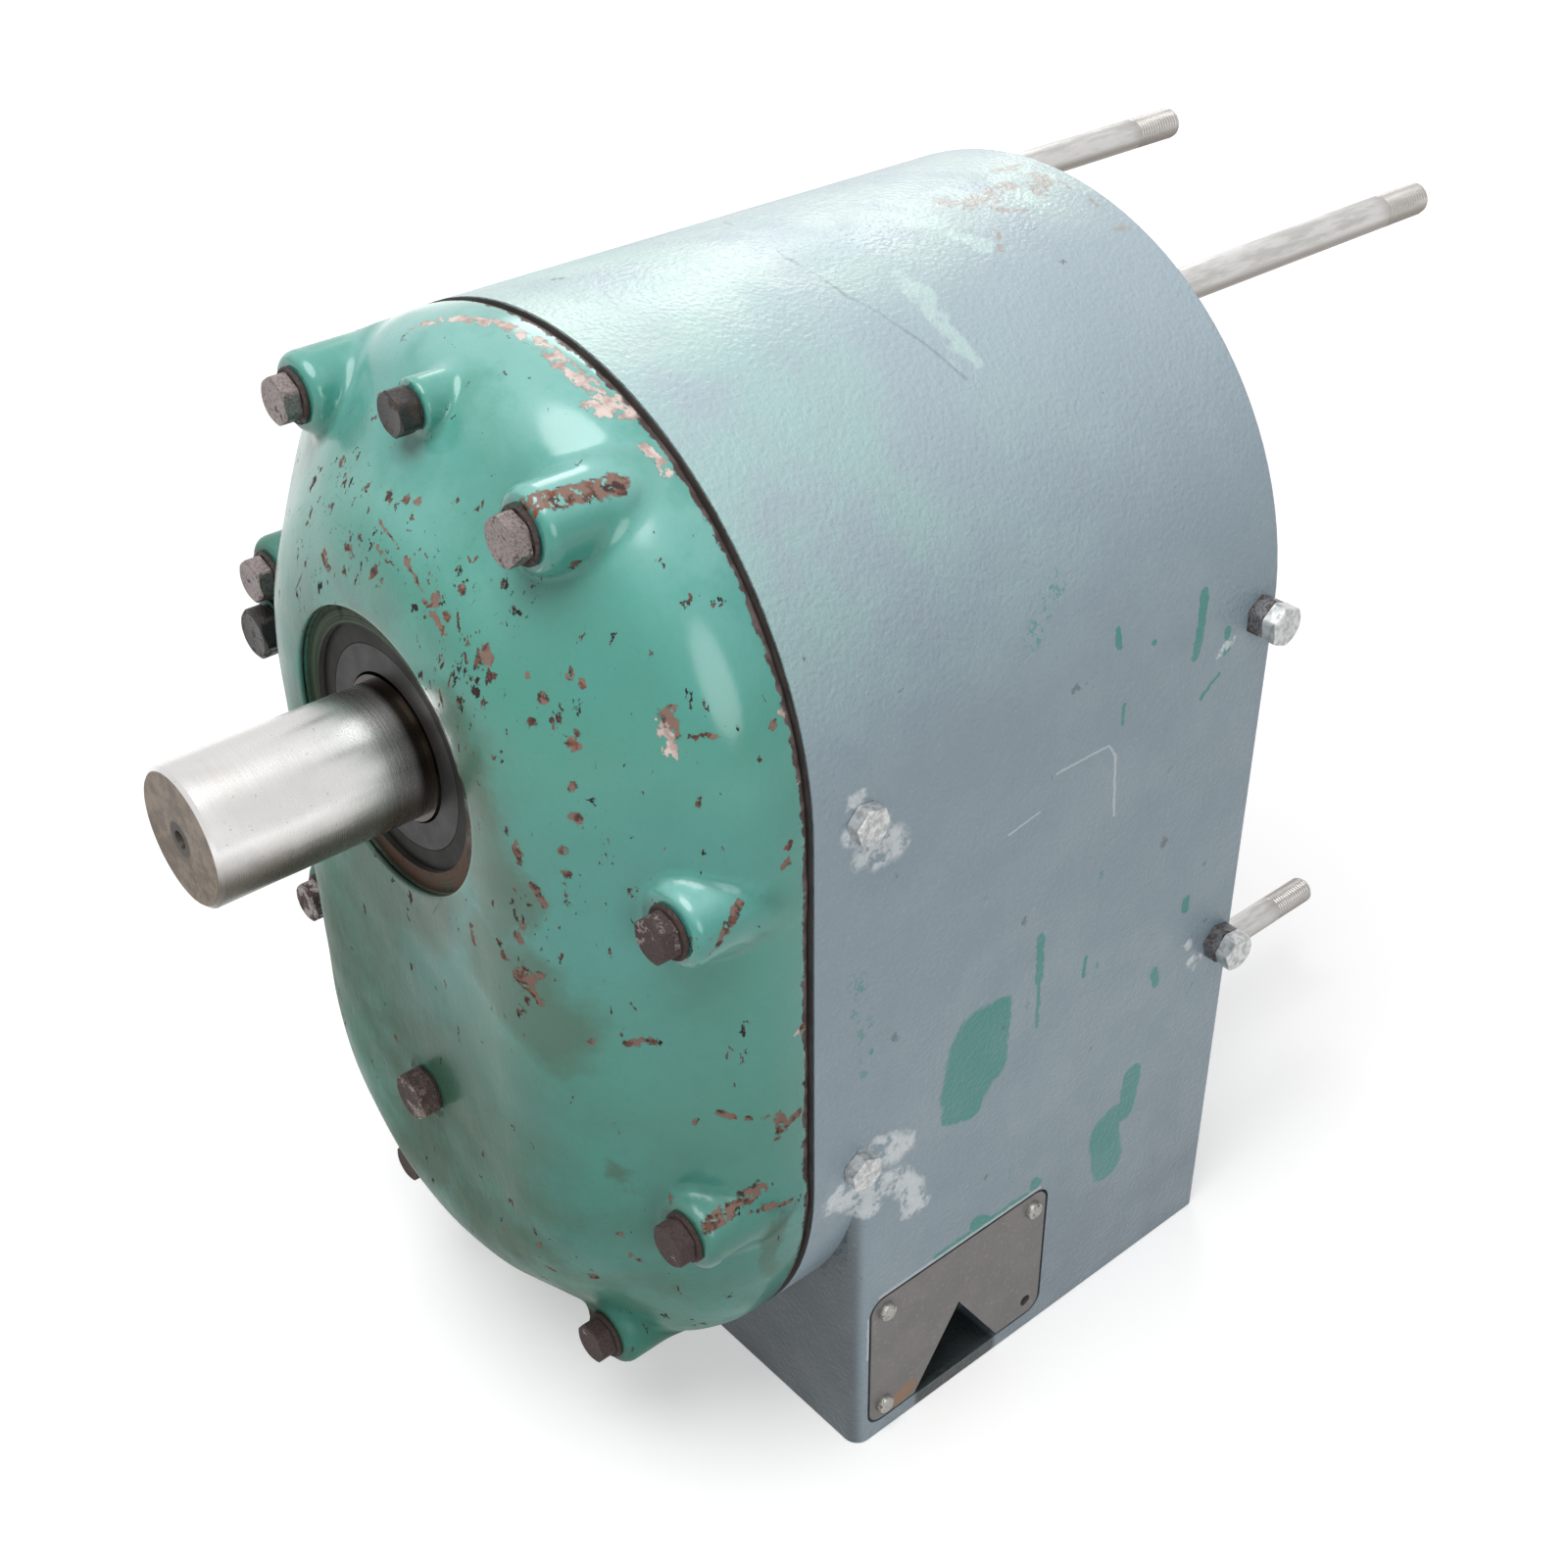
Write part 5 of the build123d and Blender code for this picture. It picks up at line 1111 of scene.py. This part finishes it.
class MOTOR_OT_joint(bpy.types.Operator):
    """Lays the oily joint paper between the cover and the casing, squeezed out unevenly"""
    bl_idname = "motor.joint"
    bl_label = "Joint Paper"

    def execute(self, context):
        front, back = SEAM - 0.00002, COVER_BACK + 0.00002
        inner, outer = HALF - 0.014, HALF - 0.0010
        edge = []
        for k, (x, y, z) in enumerate(stadium_ring(HALF, (SEAM + COVER_BACK) / 2)):
            squeeze = 0.0004 + 0.00035 * math.sin(k * 1.7) * math.sin(k * 0.61 + 1)
            out = Vector((x, 0, z - min(max(z, LOWER), UPPER))).normalized()
            edge.append((x - out.x * squeeze, y, z - out.z * squeeze))
        rings = [stadium_ring(inner, front), stadium_ring(outer, front), edge, stadium_ring(outer, back),
                 stadium_ring(inner, back)]
        mesh = bmesh.new()
        loft(mesh, rings + rings[:1], Matrix.Identity(4))
        bmesh.ops.remove_doubles(mesh, verts=mesh.verts, dist=1e-6)
        made = plain_finish("Joint paper", (0.050, 0.032, 0.022), 0.62, 0.0, 150.0, 0.5)
        finish_mesh("Joint paper", mesh, made, "cover_gasket", 60)
        return {"FINISHED"}


class MOTOR_OT_cover_bolts(bpy.types.Operator):
    """Fits the tie bolts, the short cover bolts and their washers"""
    bl_idname = "motor.cover_bolts"
    bl_label = "Cover Bolts"

    def execute(self, context):
        paint = context.scene.motor_paint
        steel = worn_steel("Cover bolt steel", paint.bolt, paint.rust, 0.30, 170.0, low_amount=0.86)
        # the washers are coloured near black: dark steel with painted shade round the heads
        dark = worn_steel("Washer steel", (0.060, 0.052, 0.050), (0.045, 0.026, 0.020), 0.55, 150.0,
                          low_amount=0.85)
        for node, name, turns in (("tie_bolt", "Tie bolt", (4, 17, 11, 26)),
                                  ("cover_bolt", "Cover bolt", (20, 9, 2, 14))):
            mesh, mesh_washers = bmesh.new(), bmesh.new()
            washers = islands(node + "_washers")
            for (low, high), (flat_low, flat_high), turn in zip(islands(node + "s"), washers, turns):
                x, _, z = middle(low, high)
                under, deep = Vector((x, flat_low.y, z)), high.y - flat_low.y
                head(mesh, seat(under, FRONT, turn), high.z - low.z, under.y - low.y, 0.06)
                lathe(mesh, seat(under, BACK), [(0.006, -0.001), (0.006, deep - 0.0015), (0.0045, deep)], 32)
                washer(mesh_washers, seat(Vector((x, flat_high.y, z)), FRONT), 0.0065,
                       (flat_high.x - flat_low.x) / 2, flat_high.y - flat_low.y)
            finish_mesh(name + "s", mesh, steel, node + "s")
            finish_mesh(name + " washers", mesh_washers, dark, node + "_washers")
        return {"FINISHED"}


class MOTOR_OT_rods(bpy.types.Operator):
    """Screws the long rods on the rear ends of the tie bolts"""
    bl_idname = "motor.rods"
    bl_label = "Rear Rods"

    def execute(self, context):
        sizes = context.scene.motor_sizes
        mesh = bmesh.new()
        deepest = max(high.y for low, high in islands("tie_bolts")) - REAR + HOLE_PAST_BOLT
        for low, high in islands("rear_rods"):
            x, _, z = middle(low, high)
            radius, reach = (high.x - low.x) / 2, high.y - low.y
            place, thread = seat(Vector((x, low.y, z)), BACK), reach - sizes.thread_length
            lathe(mesh, place, [(BOLT_HOLE, deepest), (BOLT_HOLE, 0), (radius - 0.001, 0), (radius, 0.001),
                                (radius, thread)], 40, close_end=False)
            threaded(mesh, place, radius, thread, reach, sizes.thread_pitch, 40)
        bmesh.ops.remove_doubles(mesh, verts=mesh.verts, dist=1e-7)
        finish_mesh("Rear rods", mesh, rod_steel(), "rear_rods")
        return {"FINISHED"}


class MOTOR_OT_plugs(bpy.types.Operator):
    """Screws in the filler, level and bearing plugs with their sealing rings"""
    bl_idname = "motor.plugs"
    bl_label = "Plugs"

    def execute(self, context):
        black = worn_steel("Plug black", (0.030, 0.028, 0.027), (0.05, 0.03, 0.022), 0.35, 200.0,
                           metallic=0.4)
        brown = worn_steel("Plug brown", (0.17, 0.12, 0.095), context.scene.motor_paint.rust, 0.62, 210.0)
        ring = plain_finish("Sealing ring", (0.030, 0.022, 0.018), 0.6, 0.0, 120.0, 0.4)
        for kind, turn, made, slot_name in (("filler", 8, black, "black_steel"),
                                            ("level", 21, black, "black_steel"),
                                            ("bearing", 13, brown, "rusty_steel")):
            node, name = kind + "_plug", kind.capitalize() + " plug"
            low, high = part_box(node)
            seal_low, seal_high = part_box(node + "_seal")
            x, _, z = middle(seal_low, seal_high)
            flats = min(high.x - low.x, high.z - low.z)
            under, deep = Vector((x, seal_low.y, z)), high.y - seal_low.y
            mesh, mesh_seal = bmesh.new(), bmesh.new()
            head(mesh, seat(under, FRONT, turn), flats, seal_low.y - low.y, 0.05)
            lathe(mesh, seat(under, BACK), [(flats * 0.36, -0.001), (flats * 0.36, deep - 0.001),
                                            (flats * 0.33, deep)], 32)
            washer(mesh_seal, seat(Vector((x, seal_high.y, z)), FRONT), flats * 0.3,
                   (seal_high.x - seal_low.x) / 2, seal_high.y - seal_low.y)
            finish_mesh(name, mesh, made, node)
            finish_mesh(name + " seal", mesh_seal, ring, node + "_seal")
        return {"FINISHED"}


class MOTOR_OT_side_bolts(bpy.types.Operator):
    """Fits the bolts and nuts in the casing's sides"""
    bl_idname = "motor.side_bolts"
    bl_label = "Side Bolts"

    def execute(self, context):
        silver = worn_steel("Side bolt steel", (0.60, 0.61, 0.61), (0.30, 0.28, 0.26), 0.10, 60.0,
                            metallic=0.6)
        dark = worn_steel("Side nut steel", (0.17, 0.17, 0.18), (0.07, 0.05, 0.04), 0.45, 160.0,
                          metallic=0.55)
        for kind, flats, tall, radius, turns in (("Plate", 0.016, 0.007, 0.005, (10, 24, 6, 18)),
                                                 ("Rear", 0.018, 0.008, 0.006, (3, 12, 22, 8))):
            node = kind.lower() + "_side_bolts"
            mesh = bmesh.new()
            for (low, high), turn in zip(islands(node), turns):
                _, y, z = middle(low, high)
                side = 1 if high.x > 0 else -1
                face = (high.x if side > 0 else -low.x) - tall
                grip = face - (low.x if side > 0 else -high.x)
                spot = Vector((side * face, y, z))
                head(mesh, seat(spot, RIGHT * side, turn), flats, tall, 0.04)
                lathe(mesh, seat(spot, RIGHT * -side), [(radius, -0.0005), (radius, grip - 0.001),
                                                        (radius - 0.001, grip)], 28)
            finish_mesh(kind + " side bolts", mesh, silver, node)
        mesh, tall, bore = bmesh.new(), 0.008, BOLT_HOLE
        for (low, high), turn in zip(islands("rear_side_nuts"), (7, 25, 16, 2)):
            x, y, z = middle(low, high)
            side = 1 if high.x > 0 else -1
            under = circle(0.0087, 0, 72)
            loft(mesh, [under, hexagon(0.018, 0.0006, 0.0087, 0.03),
                        hexagon(0.018, tall - 0.0002, 0.0085, 0.03), circle(0.0084, tall, 72),
                        circle(bore, tall, 72), circle(bore, 0, 72), under],
                 seat(Vector((side * HALF, y, z)), RIGHT * side, turn))
            bmesh.ops.remove_doubles(mesh, verts=mesh.verts, dist=1e-7)
        finish_mesh("Rear side nuts", mesh, dark, "rear_side_nuts")
        return {"FINISHED"}


class MOTOR_OT_terminal(bpy.types.Operator):
    """Dresses the terminal plate, its screws and what lies behind it"""
    bl_idname = "motor.terminal"
    bl_label = "Terminal Plate"

    def execute(self, context):
        dress("terminal_plate", plate_steel(context.scene.motor_paint))
        dress("terminal_plate_gasket", plain_finish("Plate gasket", (0.03, 0.024, 0.02), 0.7))
        dress("terminal_block", plain_finish("Block resin", (0.012, 0.010, 0.009), 0.4))
        dress("terminal_studs", plain_finish("Stud brass", (0.35, 0.25, 0.11), 0.4, 0.9))
        screw = worn_steel("Screw steel", (0.42, 0.41, 0.38), (0.12, 0.08, 0.06), 0.30, 260.0)
        mesh = bmesh.new()
        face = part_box("terminal_plate")[1].x
        for (low, high), turn in zip(islands("terminal_plate_screws"), (25, 70, 110)):
            _, y, z = middle(low, high)
            tall, wide = high.x - face, (high.y - low.y) / 2
            lathe(mesh, seat(Vector((face, y, z)), RIGHT, turn),
                  [(wide * 0.98, 0), (wide, tall * 0.35), (wide * 0.90, tall * 0.72),
                   (wide * 0.66, tall * 0.94), (wide * 0.30, tall), (0.0004, tall)], 40)
            lathe(mesh, seat(Vector((face, y, z)), -1 * RIGHT), [(0.003, -0.0002), (0.003, face - low.x)], 24)
        finish_mesh("Terminal plate screws", mesh, screw, "terminal_plate_screws")
        return {"FINISHED"}


class MOTOR_OT_casing(bpy.types.Operator):
    """Paints the motor casing and its rear end cover"""
    bl_idname = "motor.casing"
    bl_label = "Casing"

    def execute(self, context):
        made = casing_paint(context.scene.motor_paint)
        for node in ("body_casing", "rear_end_cover"):
            dress(node, made)
        return {"FINISHED"}


class MOTOR_OT_shaft(bpy.types.Operator):
    """Finishes the output shaft and its seal"""
    bl_idname = "motor.shaft"
    bl_label = "Output Shaft and Seal"

    def execute(self, context):
        dress("output_shaft", turned_steel(context.scene.motor_paint))
        dress("shaft_seal_case", plain_finish("Seal case", (0.024, 0.015, 0.011), 0.50, grain=90.0,
                                              spread=0.7, gloss=0.06))
        dress("shaft_seal_lip", plain_finish("Seal rubber", (0.008, 0.007, 0.006), 0.34, grain=160.0,
                                             spread=0.4, gloss=0.1))
        return {"FINISHED"}


class MOTOR_OT_inside(bpy.types.Operator):
    """Gives the gears, bearings and windings inside their finishes"""
    bl_idname = "motor.inside"
    bl_label = "Inside"

    def execute(self, context):
        finishes = {
            "machined_steel": plain_finish("Machined steel", (0.30, 0.30, 0.31), 0.35, 0.95),
            "bearing_steel": plain_finish("Bearing steel", (0.55, 0.55, 0.56), 0.18, 1.0),
            "cast_iron": plain_finish("Cast iron", (0.09, 0.09, 0.095), 0.6, 0.4),
            "black_steel": plain_finish("Black steel", (0.014, 0.013, 0.012), 0.5, 0.0, gloss=0.12),
            "seal_rubber": plain_finish("Inner seal rubber", (0.012, 0.012, 0.012), 0.45),
            "laminations": plain_finish("Laminations", (0.05, 0.05, 0.055), 0.5, 0.6),
            "cage_aluminium": plain_finish("Cage aluminium", (0.45, 0.46, 0.47), 0.4, 0.9),
            "copper_wire": plain_finish("Copper wire", (0.35, 0.11, 0.035), 0.35, 0.8),
        }
        for item in frame["record"]["subparts"]:
            if item["material_slot"] in finishes:
                dress(item["node"], finishes[item["material_slot"]])
        return {"FINISHED"}


class MOTOR_PT_panel(bpy.types.Panel):
    bl_idname = "MOTOR_PT_panel"
    bl_label = "Geared Motor"
    bl_space_type = "VIEW_3D"
    bl_region_type = "UI"
    bl_category = "Geared Motor"

    def draw(self, context):
        for settings in (context.scene.motor_paint, context.scene.motor_sizes, context.scene.motor_stage):
            column = self.layout.column()
            for name in settings.bl_rna.properties.keys():
                if name not in ("rna_type", "name"):
                    column.prop(settings, name)
        for step in STEPS:
            self.layout.operator(step.bl_idname)


STEPS = (MOTOR_OT_stage, MOTOR_OT_casing, MOTOR_OT_cover, MOTOR_OT_joint, MOTOR_OT_cover_bolts,
         MOTOR_OT_rods, MOTOR_OT_plugs, MOTOR_OT_side_bolts, MOTOR_OT_terminal, MOTOR_OT_shaft,
         MOTOR_OT_inside)
CLASSES = (MotorPaint, MotorSizes, MotorStage) + STEPS + (MOTOR_PT_panel,)


def register():
    for item in CLASSES:
        bpy.utils.register_class(item)
    bpy.types.Scene.motor_paint = PointerProperty(type=MotorPaint)
    bpy.types.Scene.motor_sizes = PointerProperty(type=MotorSizes)
    bpy.types.Scene.motor_stage = PointerProperty(type=MotorStage)


def unregister():
    del bpy.types.Scene.motor_stage, bpy.types.Scene.motor_sizes, bpy.types.Scene.motor_paint
    for item in reversed(CLASSES):
        bpy.utils.unregister_class(item)


def main():
    register()
    for step in STEPS:
        getattr(bpy.ops.motor, step.bl_idname.split(".")[1])()


if __name__ == "__main__":
    main()
